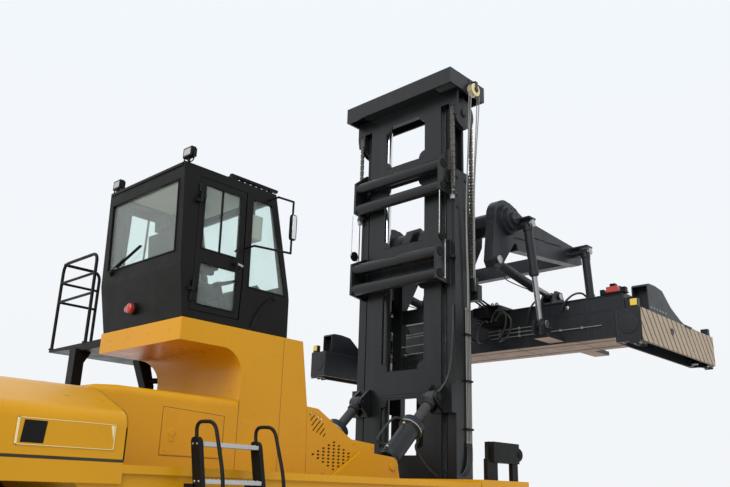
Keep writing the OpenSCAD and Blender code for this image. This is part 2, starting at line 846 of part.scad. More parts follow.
module console() {
    z0 = floor_z + cab_wall + 2 * seat_gap;
    color(coal) {
        box(-2440, cab_front_belt - cab_wall - 25, -420, 420, z0, z0 + 420);
        bar([-2440, 0, z0 + 20], [-2640, 0, z0 + 560], 45);
        translate([-2650, 0, z0 + 570]) rotate([0, -20, 0]) rotate_extrude($fn = 48)
            translate([190, 0]) circle(16, $fn = 24);
        translate([-2650, 0, z0 + 570]) rotate([0, -20, 0]) {
            cylinder(h = 24, r = 50, center = true);
            for (a = [90, 210, 330]) rotate(a) translate([0, -14, -8]) cube([190, 28, 14]);
        }
        box(-3250, -2650, 440, 620, z0, z0 + 520);
    }
    color([0.75, 0.74, 0.66]) {
        box(-2680, -2560, -620, -420, 4300, 4560);
        box(-2640, -2600, -540, -500, 4555, roof_z - cab_wall - seat_gap);
    }
}

// Left platform with its two legs, level with the cab floor

plat_x0 = -3550;
plat_x1 = -2200;
plat_y0 = core_y + 12;
plat_y1 = 2000;
plat_z = 3200;

module platform() {
    bays = 3;
    rib = 20;
    bay = (plat_x1 - plat_x0 - (bays + 1) * rib) / bays;
    color(coal) {
        // A deck on edge channels, open below in three bays
        difference() {
            box(plat_x0, plat_x1, plat_y0, plat_y1, plat_z - 90, plat_z);
            for (i = [0 : bays - 1])
                box(plat_x0 + rib + i * (bay + rib), plat_x0 + (i + 1) * (bay + rib),
                    plat_y0 + rib, plat_y1 - rib, plat_z - 90 - eps, plat_z - 20);
        }
        for (x = [plat_x0 + 60, -2750]) {
            box(x, x + 120, 1200, 1420, 2735, plat_z - 89);
            box(x + 15, x + 105, 1240, 1380, deck_z + seat_gap, 2740);
        }
    }
}

module railing() {
    r = 20;
    top = 4260;
    color(coal) {
        for (y = [plat_y1 - 30, (plat_y0 + plat_y1) / 2, plat_y0 + 330])
            bar([plat_x0 + 30, y, plat_z + seat_gap], [plat_x0 + 30, y, top], r);
        for (x = [-2880, plat_x1 - 30])
            bar([x, plat_y1 - 30, plat_z + seat_gap], [x, plat_y1 - 30, top], r);
        for (z = [3560, 3910, top]) {
            bar([plat_x0 + 30, plat_y0 + 330, z], [plat_x0 + 30, plat_y1 - 30, z], r);
            bar([plat_x0 + 30, plat_y1 - 30, z], [plat_x1 - 30, plat_y1 - 30, z], r);
            translate([plat_x0 + 30, plat_y1 - 30, z]) sphere(r, $fn = 24);
        }
        translate([plat_x1 - 30, plat_y1 - 30, top]) sphere(r, $fn = 24);
        translate([plat_x0 + 30, plat_y0 + 330, top]) sphere(r, $fn = 24);
    }
}

// Boarding ladders: leaning stringers, treads, and a hoop outside each stringer

ladder_x0 = -4220;
ladder_x1 = -3630;
ladder_top = 2050;
ladder_foot = 480;
tread_pitch = 262;
lean = 0.24;

hoop_foot = 900;

function ladder_y(z) = side_y + 30 + (ladder_top - z) * lean;

// One leaning stringer: a flat bar drawn in the (y, z) plane
module side_tilt(x, t) {
    cross_plate(x, x + t) polygon([[ladder_y(ladder_foot), ladder_foot],
        [ladder_y(ladder_foot) + 110, ladder_foot],
        [ladder_y(ladder_top) + 110, ladder_top], [ladder_y(ladder_top), ladder_top]]);
}

// A handrail hoop in a plane across the ladder: two legs and a half turn on top
module hoop(x) {
    r = 16;
    reach = 190;
    long = (ladder_top - hoop_foot) / cos(atan(lean));
    translate([x, ladder_y(ladder_top) + 55, ladder_top]) rotate([atan(lean), 0, 0]) {
        translate([0, 0, -60]) cylinder(h = 160, r = r, $fn = 24);
        translate([0, reach, -long]) cylinder(h = long + 100, r = r, $fn = 24);
        translate([0, reach / 2, 100]) rotate([90, 0, 90])
            rotate_extrude(angle = 180) translate([reach / 2, 0]) circle(r, $fn = 24);
        translate([0, 0, -long + 30]) rotate([-90, 0, 0]) cylinder(h = reach, r = r - 2, $fn = 24);
    }
}

module ladder() {
    t = 34;
    for (x = [ladder_x0, ladder_x1 - t]) {
        color(coal) side_tilt(x, t);
        color(coal) hoop(x + t / 2);
    }
    color([0.62, 0.63, 0.62]) for (z = [ladder_top - 40 : -tread_pitch : ladder_foot + 30])
        box(ladder_x0 + t, ladder_x1 - t, ladder_y(z) + 5, ladder_y(z) + 105, z - 25, z);
    // Stand-off feet on the deck edge
    color(coal) for (x = [ladder_x0, ladder_x1 - t])
        box(x, x + t, side_y + seat_gap, ladder_y(deck_z - 40) + 30, deck_z - 50, deck_z - 20);
}

module ladders() { pair() ladder(); }

// Outer mast: two channel posts, a foot beam, ties at the rear and the tilt lugs

post_out = mast_w / 2;
post_x1 = mast_x + post_depth;
flange_w = 145;
tie_gap = 60;

module outer_post() {
    box(mast_x, post_x1, post_out - post_t, post_out, outer_foot, outer_top);
    for (x = [mast_x, post_x1 - post_t])
        box(x, x + post_t, post_out - flange_w, post_out, outer_foot, outer_top);
}

module tie(x, z_low, z_high, half, plate_top, plate_low) {
    r = 85;
    for (z = [z_low, z_high]) y_rod(x, z, -half, half, r);
    pair() {
        side_plate(half - 20, half + 20) polygon([[x - r, plate_low], [x - r, z_high + r],
            [mast_x - 20, plate_top], [mast_x + 10, plate_top], [mast_x + 10, plate_low - 40]]);
    }
}

lug_x = mast_x - 195;
lug_base_x = mast_x - 95;
lug_r = 85;
lug_z = 2900;
// Half of the gap between a tilt lug's plates
lug_half = 72;

// Height of the rear chains' anchors, which stand behind the posts
anchor_z = outer_top - 290;

module mast_outer() {
    color(mast_grey) {
        pair() {
            outer_post();
            // Tilt lugs behind the post, joined to it by a side plate
            for (y = [ram_y - lug_half - bracket_t, ram_y + lug_half])
                side_plate(y, y + bracket_t) hull() {
                    translate([lug_x, lug_z]) circle(lug_r);
                    translate([lug_base_x, lug_z - 190]) square([20, 380]);
                }
            box(lug_base_x, lug_base_x + 30, ram_y - lug_half - bracket_t, post_out,
                lug_z - 190, lug_z + 190);
            box(lug_base_x + 10, mast_x + 10, post_out - flange_w, post_out, lug_z - 190, lug_z + 190);
            y_rod(lug_x, lug_z, ram_y - lug_half - bracket_t - 20,
                ram_y + lug_half + bracket_t + 20, ram_pin_r);
            // Foot block with the tilt pin
            side_plate(hook_out + 12, post_out) hull() {
                translate([tilt_pin_x, tilt_pin_z]) circle(hook_r);
                translate([mast_x, outer_foot]) square([20, 700]);
            }
            y_rod(tilt_pin_x, tilt_pin_z, hook_in - 30, hook_out + 30, tilt_pin_r);
        }
        box(mast_x + 50, post_x1 - 10, -post_out, post_out, outer_foot, outer_foot + 110);
        // The upper tie's plates pass inside the chain wheels when the inner mast is down
        tie(mast_x - 180, outer_top - 305, outer_top + 35, 822, outer_top + 320, outer_top - 380);
        tie(mast_x - 230, 4565, 4875, 800, 5100, 4480);
        // Chain anchors behind the posts
        pair() {
            box(mast_x - 60, mast_x + 10, post_out - 60, post_out + 50, anchor_z - 140, anchor_z - 80);
            translate([mast_x - 50, post_out, anchor_z - 180]) cylinder(h = 180, r = 28);
        }
    }
}

// Lift cylinders inside the mast, hidden by the inner stage's rear plate

lift_y = 460;
lift_x = mast_x + 95;
lift_r = 90;
lift_rod_r = 60;
lift_top = 4820;

module lift_barrels() {
    color(mast_grey) pair() difference() {
        translate([lift_x, lift_y, outer_foot + 110 + seat_gap])
            cylinder(h = lift_top - outer_foot - 110, r = lift_r);
        translate([lift_x, lift_y, outer_foot + 150]) cylinder(h = lift_top, r = lift_rod_r + 0.5);
    }
}

module lift_rods() {
    color(chrome) pair() translate([lift_x, lift_y, inner_foot + 40])
        cylinder(h = head_z - inner_foot - 40 - seat_gap, r = lift_rod_r);
}

// Inner mast: two I posts, a rear plate with windows, and the crosshead

inner_x0 = mast_x + post_t + 8;
inner_x1 = post_x1 - post_t - 8;
inner_out = post_out - post_t - stage_gap;
inner_in = 620;
web_y = 715;
inner_t = 40;
plate_x = mast_x - 50;
plate_t = 24;
plate_half = 695;
window_half = 390;

module inner_post() {
    box(inner_x0, inner_x1, web_y, web_y + inner_t, inner_foot, head_z);
    for (x = [inner_x0, inner_x1 - inner_t])
        box(x, x + inner_t, inner_in, inner_out, inner_foot, head_z);
    box(plate_x, inner_x0 + eps, inner_in, inner_in + 34, inner_foot, head_z);
}

module window(z0, z1) {
    translate([-window_half, z0]) difference() {
        square([2 * window_half, z1 - z0]);
        for (x = [0, 2 * window_half], z = [0, z1 - z0]) translate([x, z]) circle(110);
    }
}

module crosshead() {
    x0 = 350;
    x1 = 1200;
    half = 1050;
    difference() {
        box(x0, x1, -half, half, head_z, head_z + 250);
        box(x0 + 30, x1 - 30, -half + 30, half - 30, head_z - eps, head_z + 220);
    }
    box(x0, post_x1, -plate_half, plate_half, head_z, head_z + 30);
    difference() {
        union() {
            box(plate_x, plate_x + 40, -1000, 1000, head_z - 190, head_z + 40);
            pair() cross_plate(plate_x, plate_x + 30)
                polygon([[850, head_z - 180], [1000, head_z - 180], [1000, head_z - 240],
                    [post_out + 70, wheel_z - 100], [850, wheel_z - 100]]);
        }
        // Slots that the rear chains run through
        pair() {
            y_rod(wheel_x, wheel_z, chain_y - chain_w / 2 - 8, chain_y + chain_w / 2 + 8,
                chain_wheel_r + chain_t + 10);
            box(wheel_x - chain_wheel_r - chain_t - 10, wheel_x, chain_y - chain_w / 2 - 8,
                chain_y + chain_w / 2 + 8, wheel_z - 300, wheel_z);
        }
    }
}

chain_y = post_out;
wheel_x = mast_x + 180;
wheel_z = head_z - 300;
chain_w = 50;
chain_t = 34;
// A chain wheel's rims: how far they stand off the chain, their width and height
rim_gap = 2;
rim_w = 20;
rim_up = 35;

module chain_wheel() {
    translate([wheel_x, chain_y, wheel_z]) rotate([90, 0, 0]) {
        cylinder(h = chain_w + 2 * rim_gap + rim_w, r = chain_wheel_r, center = true);
        for (s = [-1, 1]) translate([0, 0, s * (chain_w / 2 + rim_gap + rim_w / 2)])
            cylinder(h = rim_w, r = chain_wheel_r + rim_up, center = true);
        cylinder(h = chain_w + 100, r = 50, center = true);
    }
}

module mast_inner() {
    color(mast_grey) {
        pair() {
            inner_post();
            chain_wheel();
            // Wheel carrier: a plate that hangs from the crosshead inside the chain wheel
            side_plate(chain_y - 95, chain_y - 70) polygon([[wheel_x - 130, head_z + 10],
                [wheel_x - 70, wheel_z - 90], [wheel_x + 70, wheel_z - 90], [wheel_x + 130, head_z + 10]]);
        }
        cross_plate(plate_x, plate_x + plate_t) difference() {
            translate([-plate_half, inner_foot]) square([2 * plate_half, head_z - inner_foot]);
            window(head_z - 920, head_z - 210);
            window(head_z - 2220, head_z - 1270);
            window(inner_foot + 2300, inner_foot + 3530);
            window(inner_foot + 1150, inner_foot + 1900);
            translate([-window_half, inner_foot - 10]) square([2 * window_half, 760]);
        }
        crosshead();
        box(plate_x, lift_x - lift_r - 10, -inner_in - 30, inner_in + 30,
            inner_foot + 1930, inner_foot + 1970);
    }
}

// Leaf chains: a rear run up to the chain wheel and a front run down to the carriage

chain_low_z = 4560;

module chain_half_turn(a0) {
    r = chain_wheel_r + chain_t / 2 + 1;
    translate([wheel_x, chain_y, wheel_z]) rotate([90, 0, 0]) rotate([0, 0, a0])
        rotate_extrude(angle = 90) translate([r, 0]) square([chain_t, chain_w], center = true);
}

module chain_run(x, z0, z1) {
    box(x - chain_t / 2, x + chain_t / 2, chain_y - chain_w / 2, chain_y + chain_w / 2, z0, z1);
}

module chains_rear() {
    r = chain_wheel_r + chain_t / 2 + 1;
    color(coal) pair() {
        chain_half_turn(90);
        chain_run(wheel_x - r, anchor_z + seat_gap, wheel_z);
    }
}

module chains_front() {
    r = chain_wheel_r + chain_t / 2 + 1;
    color(coal) pair() {
        chain_half_turn(0);
        chain_run(wheel_x + r, chain_low_z + 60, wheel_z);
    }
}

// Carriage: a roller frame between the inner posts, with the arms' bracket in front

car_x0 = 1060;
car_x1 = 1160;
car_z0 = 1900;
car_z1 = 4300;

module carriage() {
    roller_x = (inner_x0 + inner_x1) / 2;
    roller_r = (inner_x1 - inner_x0) / 2 - inner_t - 0.5;
    color(mast_grey) {
        pair() {
            // Upright and its roller brackets
            box(car_x0, car_x1, 420, 600, car_z0, 5300);
            for (z = [car_z0 + 180, car_z0 + 1000, car_z1 - 180]) {
                box(roller_x - 70, car_x0 + eps, 575, 605, z - 120, z + 120);
                y_rod(roller_x, z, 590, web_y - 8, roller_r);
            }
            // Outrigger that holds the front chain's lower end
            box(car_x0, car_x1, 600 - eps, chain_y + 70, chain_low_z - 260, chain_low_z - 40);
            box(car_x0 - 60, car_x0 + 20, chain_y - 60, chain_y + 60, chain_low_z - 150, chain_low_z + 50);
            // Arm bracket up to the pivot tube
            side_plate(430, 590) difference() {
                polygon([[car_x0, 4300], [car_x1, 4300], [1740, 5300], [1760, 5560],
                    [1700, 5700], [1500, 5780], [1340, 5700], [car_x1, 5300], [car_x0, 5300]]);
                translate([tube_x, pivot_z]) circle(tube_r + seat_gap);
            }
        }
        for (z = [car_z0 + 20, 3400, 4100])
            box(car_x0 + 10, car_x1 - 10, -430, 430, z, z + 220);
        box(car_x0 + 20, car_x1 - 20, -140, 140, car_z0 + 100, 3450);
    }
}

// Spreader arms on the pivot tube, their cross beam and the four hangers

tube_x = lock_x - 200;
tube_r = 170;
arm_y = 1080;
arm_t = 150;
// Eyes at the rods' lower ends, round the frame's pins
pin_r = 40;
eye_r = 62;
hang_eye = 34;
level_eye = 70;
level_x = lock_x + 1180;
level_z = 4680;
arm_tip_x = lock_x + 2050;
hang_y = 1380;
hanger_x = [[lock_x + 20, lock_x + 280], [lock_x + 1770, lock_x + 1950]];
hang_top = 5520;
hang_low = 4060;
leg_x = lock_x - 460;
leg_z = 4900;

module arm_outline() {
    hull() {
        translate([tube_x, pivot_z + 20]) circle(300);
        translate([tube_x + 500, 5260]) square([10, 360]);
    }
    polygon([[tube_x + 100, pivot_z + 320], [tube_x + 500, pivot_z + 180], [arm_tip_x, 5650],
        [arm_tip_x + 30, 5420], [arm_tip_x - 100, 5370], [tube_x + 300, 5180]]);
    polygon([[tube_x - 290, pivot_z], [leg_x - 120, leg_z - 20], [leg_x - 60, leg_z - 110],
        [leg_x + 60, leg_z - 110], [leg_x + 190, leg_z + 20], [tube_x + 260, 5330]]);
}

module spreader_arms() {
    color(slate) {
        y_rod(tube_x, pivot_z, -arm_y - 10, arm_y + 10, tube_r);
        pair() {
            side_plate(arm_y - arm_t / 2, arm_y + arm_t / 2) arm_outline();
            for (k = [[0, 230, 60], [60, 175, 50], [110, 95, 40]])
                y_rod(tube_x + 40, pivot_z + 30, arm_y + arm_t / 2 - 5 + k[0],
                    arm_y + arm_t / 2 + k[0] + k[2], k[1]);
            for (h = hanger_x) {
                y_rod(h[0], hang_top, arm_y + 60, hang_y + 60, 55);
                box(h[0] - 90, h[0] + 90, arm_y + 60, hang_y + 90, hang_top + 70, hang_top + 95);
                translate([h[0], hang_y, hang_top]) rotate([0, atan2(h[1] - h[0], hang_low - hang_top), 0])
                    cylinder(h = 760, r = 65);
            }
        }
        box(arm_tip_x - 190, arm_tip_x - 30, -arm_y, arm_y, 5400, 5640);
    }
    color(chrome) pair() for (h = hanger_x) difference() {
        union() {
            bar([h[0], hang_y, hang_top], [h[1], hang_y, hang_low], 40);
            y_rod(h[1], hang_low, hang_y - hang_eye, hang_y + hang_eye, eye_r);
        }
        y_rod(h[1], hang_low, hang_y - 100, hang_y + 100, pin_r + 0.5);
    }
    // Levelling cylinders from the legs to the spreader frame
    color(slate) pair() {
        bar([leg_x, arm_y, leg_z], [lock_x + 620, arm_y, 4740], 70);
        y_rod(leg_x, leg_z, arm_y - 110, arm_y + 110, 45);
    }
    color(chrome) pair() difference() {
        union() {
            bar([lock_x + 600, arm_y, 4742], [level_x, arm_y, level_z], 45);
            y_rod(level_x, level_z, arm_y - level_eye, arm_y + level_eye, eye_r);
        }
        y_rod(level_x, level_z, arm_y - 100, arm_y + 100, pin_r + 0.5);
    }
}

// Spreader frame: a hollow main box along Y, open at both ends for the end beams' tubes

frame_z = 3850;
frame_mid = lock_x + lock_width / 2;
frame_half = 2450;
wall = 16;
slide_gap = 6;

module spreader_frame() {
    x0 = frame_mid - frame_d / 2;
    color(slate) {
        difference() {
            box(x0, x0 + frame_d, -frame_half, frame_half, frame_z, frame_z + frame_h);
            for (s = [0, 1]) {
                xa = s == 0 ? x0 + wall : frame_mid + wall / 2;
                box(xa, xa + frame_d / 2 - wall * 1.5, -frame_half - 1, frame_half + 1,
                    frame_z + 90, frame_z + frame_h - 90);
            }
        }
        // Wear pads that the sliding tubes rest on, at each tube's own end of the frame
        box(x0 + wall + 30, frame_mid - wall / 2 - 30, -frame_half + 10, -frame_half + 250,
            frame_z + 90 - eps, frame_z + 90 + slide_gap - 0.5);
        box(frame_mid + wall / 2 + 30, x0 + frame_d - wall - 30, frame_half - 250, frame_half - 10,
            frame_z + 90 - eps, frame_z + 90 + slide_gap - 0.5);
        pair() {
            for (h = hanger_x) {
                for (y = [hang_y - 70, hang_y + 50]) side_plate(y, y + 30)
                    polygon([[h[1] - 150, frame_z + 60], [h[1] + 150, frame_z + 60],
                        [h[1] + 110, hang_low + 60], [h[1] - 110, hang_low + 60]]);
                y_rod(h[1], hang_low, hang_y - 90, hang_y + 100, pin_r);
            }
            box(x0 - 460, x0 + 10, hang_y - 120, hang_y + 130, frame_z + 20, frame_z + 80);
            box(x0 + frame_d - 10, lock_x + 2120, hang_y - 120, hang_y + 130, frame_z + 20, frame_z + 80);
            // Trapezoid brackets for the levelling cylinder
            for (y = [arm_y - 120, arm_y + 80]) side_plate(y, y + 40)
                polygon([[lock_x + 900, frame_z + frame_h - 10], [lock_x + 1400, frame_z + frame_h - 10],
                    [level_x + 100, level_z + 80], [level_x - 80, level_z + 80]]);
            y_rod(level_x, level_z, arm_y - 140, arm_y + 140, pin_r);
        }
        box(frame_mid - 260, frame_mid + 200, -330, 330, frame_z + frame_h - 5, frame_z + frame_h + 140);
    }
}

// End beams: a tube that runs in the main frame, a cross beam, and two twistlocks

end_y = lock_length / 2;
end_in = end_y - 246.5;
end_out = end_y + 103.5;
end_z0 = 3600;
end_z1 = 4030;
tube_len = 5050;
// The sheet that joins the sliding tube to the cross beam
gusset_t = 30;
gusset_top = 4400;

module end_beam(side) {
    xa = side > 0 ? frame_mid + wall / 2 : frame_mid - frame_d / 2 + wall;
    xb = xa + frame_d / 2 - wall * 1.5;
    color(slate) {
        box(xa + slide_gap, xb - slide_gap, end_in - tube_len, end_in + 10,
            frame_z + 90 + slide_gap, frame_z + frame_h - 90 - slide_gap);
        difference() {
            box(lock_x - end_beam_over, lock_x + lock_width + end_beam_over, end_in, end_out,
                end_z0, end_z1);
            box(lock_x - end_beam_over + 20, lock_x + lock_width + end_beam_over - 20,
                end_in + 15, end_out - 15, end_z0 - eps, end_z1 - 15);
            translate([lock_x - end_beam_over - 10, (end_in + end_out) / 2, 3830])
                rotate([0, 90, 0]) cylinder(h = 60, r = 110);
        }
        side_plate(end_in - gusset_t, end_in + eps) polygon([[lock_x, end_z1 - 10],
            [lock_x, gusset_top - 40], [lock_x + 640, gusset_top], [lock_x + 770, gusset_top - 160],
            [lock_x + 1080, end_z1 + 90], [lock_x + 1330, end_z1 - 10], [lock_x + 1200, end_z1 - 170],
            [lock_x + 100, end_z1 - 170]]);
        for (x = [lock_x, lock_x + lock_width]) {
            translate([x, end_y, end_z0 - 1]) linear_extrude(60)
                square([170, 150], center = true);
            translate([x, end_y, lock_z + 60]) cylinder(h = end_z0 - lock_z + 200, r = 33);
            translate([x, end_y, lock_z]) cylinder(h = 62, r1 = 22, r2 = 52);
        }
    }
}

module end_beam_left() { end_beam(1); }
module end_beam_right() { mirror([0, 1, 0]) end_beam(-1); }

// Tilt cylinders: barrel on the chassis pin, rod to the mast's lug pin

ram_dx = lug_x - ram_pin_x;
ram_dz = lug_z - ram_pin_z;
ram_len = norm([ram_dx, ram_dz]);
ram_angle = atan2(ram_dx, ram_dz);
barrel_r = 150;
barrel_len = 760;
ram_rod_r = 65;

module along_ram() {
    translate([ram_pin_x, ram_y, ram_pin_z]) rotate([0, ram_angle, 0]) children();
}

module tilt_barrel_left() {
    color(slate) difference() {
        union() {
            along_ram() {
                translate([0, 0, 120]) cylinder(h = barrel_len - 120, r = barrel_r - 25);
                translate([0, 0, barrel_len - 60]) cylinder(h = 80, r = barrel_r);
            }
            y_rod(ram_pin_x, ram_pin_z, ram_y - ram_half, ram_y + ram_half, 95);
            along_ram() translate([-60, -ram_half + 8, 0]) cube([120, 2 * ram_half - 16, 160]);
        }
        y_rod(ram_pin_x, ram_pin_z, 0, 2000, ram_pin_r + 0.5);
        along_ram() translate([0, 0, 300]) cylinder(h = 2000, r = ram_rod_r + 0.5);
    }
}

module tilt_rod_left() {
    eye_gap = 14;
    color(chrome) difference() {
        union() {
            along_ram() translate([0, 0, 500]) cylinder(h = ram_len - 560, r = ram_rod_r);
            y_rod(lug_x, lug_z, ram_y - lug_half + 6, ram_y + lug_half - 6, 90);
        }
        y_rod(lug_x, lug_z, 0, 2000, ram_pin_r + eye_gap);
    }
}

module tilt_barrel_right() { mirror([0, 1, 0]) tilt_barrel_left(); }
module tilt_rod_right() { mirror([0, 1, 0]) tilt_rod_left(); }

// Placement: every node is moved so that the origin lies under the middle

module place() { translate([-mid_x, 0, 0]) children(); }

place() {
    chassis();
    drive_axle();
    steer_axle();
    counterweight();
    engine();
    hood();
    side_tanks();
    front_fenders();
    front_body();
    pedestal();
    front_covers();
    cab_shell();
    cab_glass();
    roof_guard();
    cab_lamps();
    mirror_hoop();
    seat();
    console();
    platform();
    railing();
    ladders();
    door_right();
    door_right_glass();
    door_left();
    door_left_glass();
    drive_tyres_right();
    drive_rims_right();
    drive_tyres_left();
    drive_rims_left();
    knuckle_right();
    steer_tyre_right();
    steer_rim_right();
    knuckle_left();
    steer_tyre_left();
    steer_rim_left();
    mast_outer();
    lift_barrels();
    mast_inner();
    lift_rods();
    chains_rear();
    carriage();
    chains_front();
    spreader_arms();
    spreader_frame();
    tilt_barrel_right();
    tilt_rod_right();
    tilt_barrel_left();
    tilt_rod_left();
    end_beam_right();
    end_beam_left();
}
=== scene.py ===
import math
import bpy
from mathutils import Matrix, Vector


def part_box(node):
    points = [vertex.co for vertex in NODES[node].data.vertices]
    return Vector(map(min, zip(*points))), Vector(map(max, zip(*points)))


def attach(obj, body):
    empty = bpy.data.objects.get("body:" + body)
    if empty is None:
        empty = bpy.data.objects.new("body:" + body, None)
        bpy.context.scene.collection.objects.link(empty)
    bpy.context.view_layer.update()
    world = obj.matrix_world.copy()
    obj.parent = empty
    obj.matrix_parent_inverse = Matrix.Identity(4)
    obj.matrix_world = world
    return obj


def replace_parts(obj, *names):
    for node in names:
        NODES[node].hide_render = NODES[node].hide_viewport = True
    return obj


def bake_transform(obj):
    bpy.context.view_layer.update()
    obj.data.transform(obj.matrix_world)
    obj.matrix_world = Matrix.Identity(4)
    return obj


bl_info = {
    "name": "Container handling lift truck",
    "version": (1, 0, 0),
    "blender": (4, 5, 0),
    "location": "View3D > Sidebar > Lift truck",
    "description": "Dresses the packed lift truck with paint, glass, hoses and fittings",
    "category": "Object",
}

from functools import cached_property
from itertools import product

import bmesh
import bpy
from bpy.props import FloatProperty, FloatVectorProperty, IntProperty, PointerProperty
from mathutils import Matrix, Vector

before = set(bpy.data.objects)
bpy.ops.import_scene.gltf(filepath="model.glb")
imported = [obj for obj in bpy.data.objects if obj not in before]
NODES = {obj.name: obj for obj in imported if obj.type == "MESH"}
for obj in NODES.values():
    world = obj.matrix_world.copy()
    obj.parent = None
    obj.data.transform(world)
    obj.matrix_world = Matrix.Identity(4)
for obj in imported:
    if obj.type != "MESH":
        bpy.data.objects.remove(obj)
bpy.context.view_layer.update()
AXLE_X = sum(corner.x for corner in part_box("drive_axle")) / 2
X, Y, Z = Vector((1, 0, 0)), Vector((0, 1, 0)), Vector((0, 0, 1))
SIDES = ((1, "left"), (-1, "right"))

# Places that the pieces share, in millimetres, X counted from the drive axle
SIDE_Y = 2050
CORE_Y = 765
DECK_Z = 1830
HOOD_TOP = 2405
HOOD_SIDE_TOP = 2165
HOOD_FLAT_Y = 1480
HOOD_FOOT = 1860
HOOD_FRONT = -4720
HOOD_REAR = -7390
STEER_X = -5750
AXLE_Z = 815
TYRE_R = 815
FLOOR_Z = 3250
ROOF_Z = 4840
MAST_X = 630
POST_OUT = 905
HEAD_Z = 7400
LOCK_X = 1750
LOCK_GRID = 2259
BEAM_X0 = 2479.5
BEAM_X1 = 3279.5
BEAM_Z0 = 3850
BEAM_Z1 = 4470

# Tyre lugs: their width, how far they reach from the middle and over it, and their slant
LUG_WIDTH = 90
LUG_REACH = 231
LUG_OVER = 18
LUG_SKEW = 55

# Turned caps that several pieces share: (distance along, radius) pairs
PIN_CAP = ((-6, 70), (10, 68), (14, 50))
ELBOW = ((0, 24), (26, 22), (30, 16), (44, 14))


def to_frame(solid):
    """Turns a mesh in millimetres from the drive axle into the frame's metres."""
    solid.transform(Matrix.Translation((AXLE_X, 0, 0)) @ Matrix.Scale(0.001, 4))


# Materials


def darker(colour, by):
    return tuple(c * by for c in colour[:3])


class Mixer:
    """Adds nodes to a node tree; a value may be a constant or another node's output."""

    def __init__(self, tree):
        self.tree = tree

    @cached_property
    def place(self):
        return self.add("TexCoord").outputs["Object"]

    def plug(self, socket, value):
        if isinstance(value, bpy.types.NodeSocket):
            self.tree.links.new(value, socket)
        else:
            socket.default_value = value

    def put(self, node, **inputs):
        for key, value in inputs.items():
            self.plug(node.inputs[key.replace("_", " ")], value)

    def add(self, kind, settings=(), **inputs):
        made = self.tree.nodes.new("ShaderNode" + kind)
        for key, value in dict(settings).items():
            setattr(made, key, value)
        self.put(made, **inputs)
        return made

    def noise(self, scale, detail=3.0, rough=0.5, place=None):
        where = self.place if place is None else place
        return self.add("TexNoise", Vector=where, Scale=scale, Detail=detail, Roughness=rough).outputs["Fac"]

    def spread(self, value, low, high, to_low=0, to_high=1):
        """Maps a value's range to another range."""
        made = self.add("MapRange")
        for socket, number in zip(made.inputs, (value, low, high, to_low, to_high)):
            self.plug(socket, number)
        return made.outputs[0]

    def blend(self, amount, first, second):
        made = self.add("Mix", {"data_type": "RGBA"})
        for i, value in ((0, amount), (6, first), (7, second)):
            self.plug(made.inputs[i], (*value[:3], 1) if isinstance(value, tuple) else value)
        return made.outputs[2]

    def math(self, operation, first, second, kind="Math"):
        made = self.add(kind, {"operation": operation})
        self.plug(made.inputs[0], first)
        self.plug(made.inputs[1], second)
        return made.outputs["Value"]


class Finish(Mixer):
    """A finish for the pieces, mixed round its material's shader."""

    def __init__(self, name, **inputs):
        self.material = bpy.data.materials.new(name)
        self.material.use_nodes = True
        super().__init__(self.material.node_tree)
        self.shader = self.tree.nodes["Principled BSDF"]
        self.put(self.shader, **inputs)

    def shade(self, tint, scale, detail, low, high):
        """The base colour, and a roughness that changes in patches."""
        patchy = self.spread(self.noise(scale, detail), 0.3, 0.7, low, high)
        self.put(self.shader, Base_Color=tint, Roughness=patchy)

    def soft_edges(self, radius, height, strength, distance=0.002):
        """Rounds the look of edges, with a fine bump over it, and returns the material."""
        edge = self.add("Bevel", {"samples": 4}, Radius=radius).outputs["Normal"]
        bump = self.add("Bump", Strength=strength, Distance=distance, Height=height, Normal=edge)
        self.put(self.shader, Normal=bump.outputs["Normal"])
        return self.material


def enamel(name, colour, rough, coat=0.0, cloud=0.10, grime=0.25, worn=None, gloss=0.5):
    """Machine paint: slow shade changes, fine peel, thin dust streaks and softened edges."""
    mix = Finish(name, Specular_IOR_Level=gloss)
    slow = mix.spread(mix.noise(0.9), 0.3, 0.7)
    tint = mix.blend(slow, darker(colour, 1 - cloud), darker(colour, 1 + cloud))
    run = mix.add("Mapping", Vector=mix.place, Scale=(7, 7, 0.5)).outputs["Vector"]
    streak = mix.spread(mix.noise(1.6, 4, place=run), 0.52, 0.8, 0, grime)
    dust = tuple(0.7 * c + 0.3 * d for c, d in zip(colour, (0.11, 0.10, 0.08)))
    tint = mix.blend(streak, tint, dust)
    if worn is not None:
        rim = mix.add("Bevel", {"samples": 4}, Radius=0.008).outputs["Normal"]
        flat = mix.add("NewGeometry").outputs["Normal"]
        edge = mix.spread(mix.math("DOT_PRODUCT", rim, flat, "VectorMath"), 0.97, 0.80)
        broken = mix.spread(mix.noise(11, 5, 0.7), 0.5, 0.62, 0, 0.55)
        tint = mix.blend(mix.math("MULTIPLY", edge, broken), tint, worn)
    mix.shade(tint, 5, 4, rough * 0.85, min(1, rough * 1.2))
    if coat:
        mix.put(mix.shader, Coat_Weight=coat, Coat_Roughness=0.12)
    return mix.soft_edges(0.006, mix.noise(160, 2), 0.05)


def bright_metal(name, colour, rough, lines=0.0):
    """Ground or chromed steel, with fine turned lines."""
    mix = Finish(name, Metallic=1.0)
    slow = mix.spread(mix.noise(6), 0.3, 0.7)
    mix.shade(mix.blend(slow, darker(colour, 0.9), colour), 30, 4, rough * 0.7, rough * 1.3)
    return mix.soft_edges(0.003, mix.noise(220, 2), lines + 0.02)


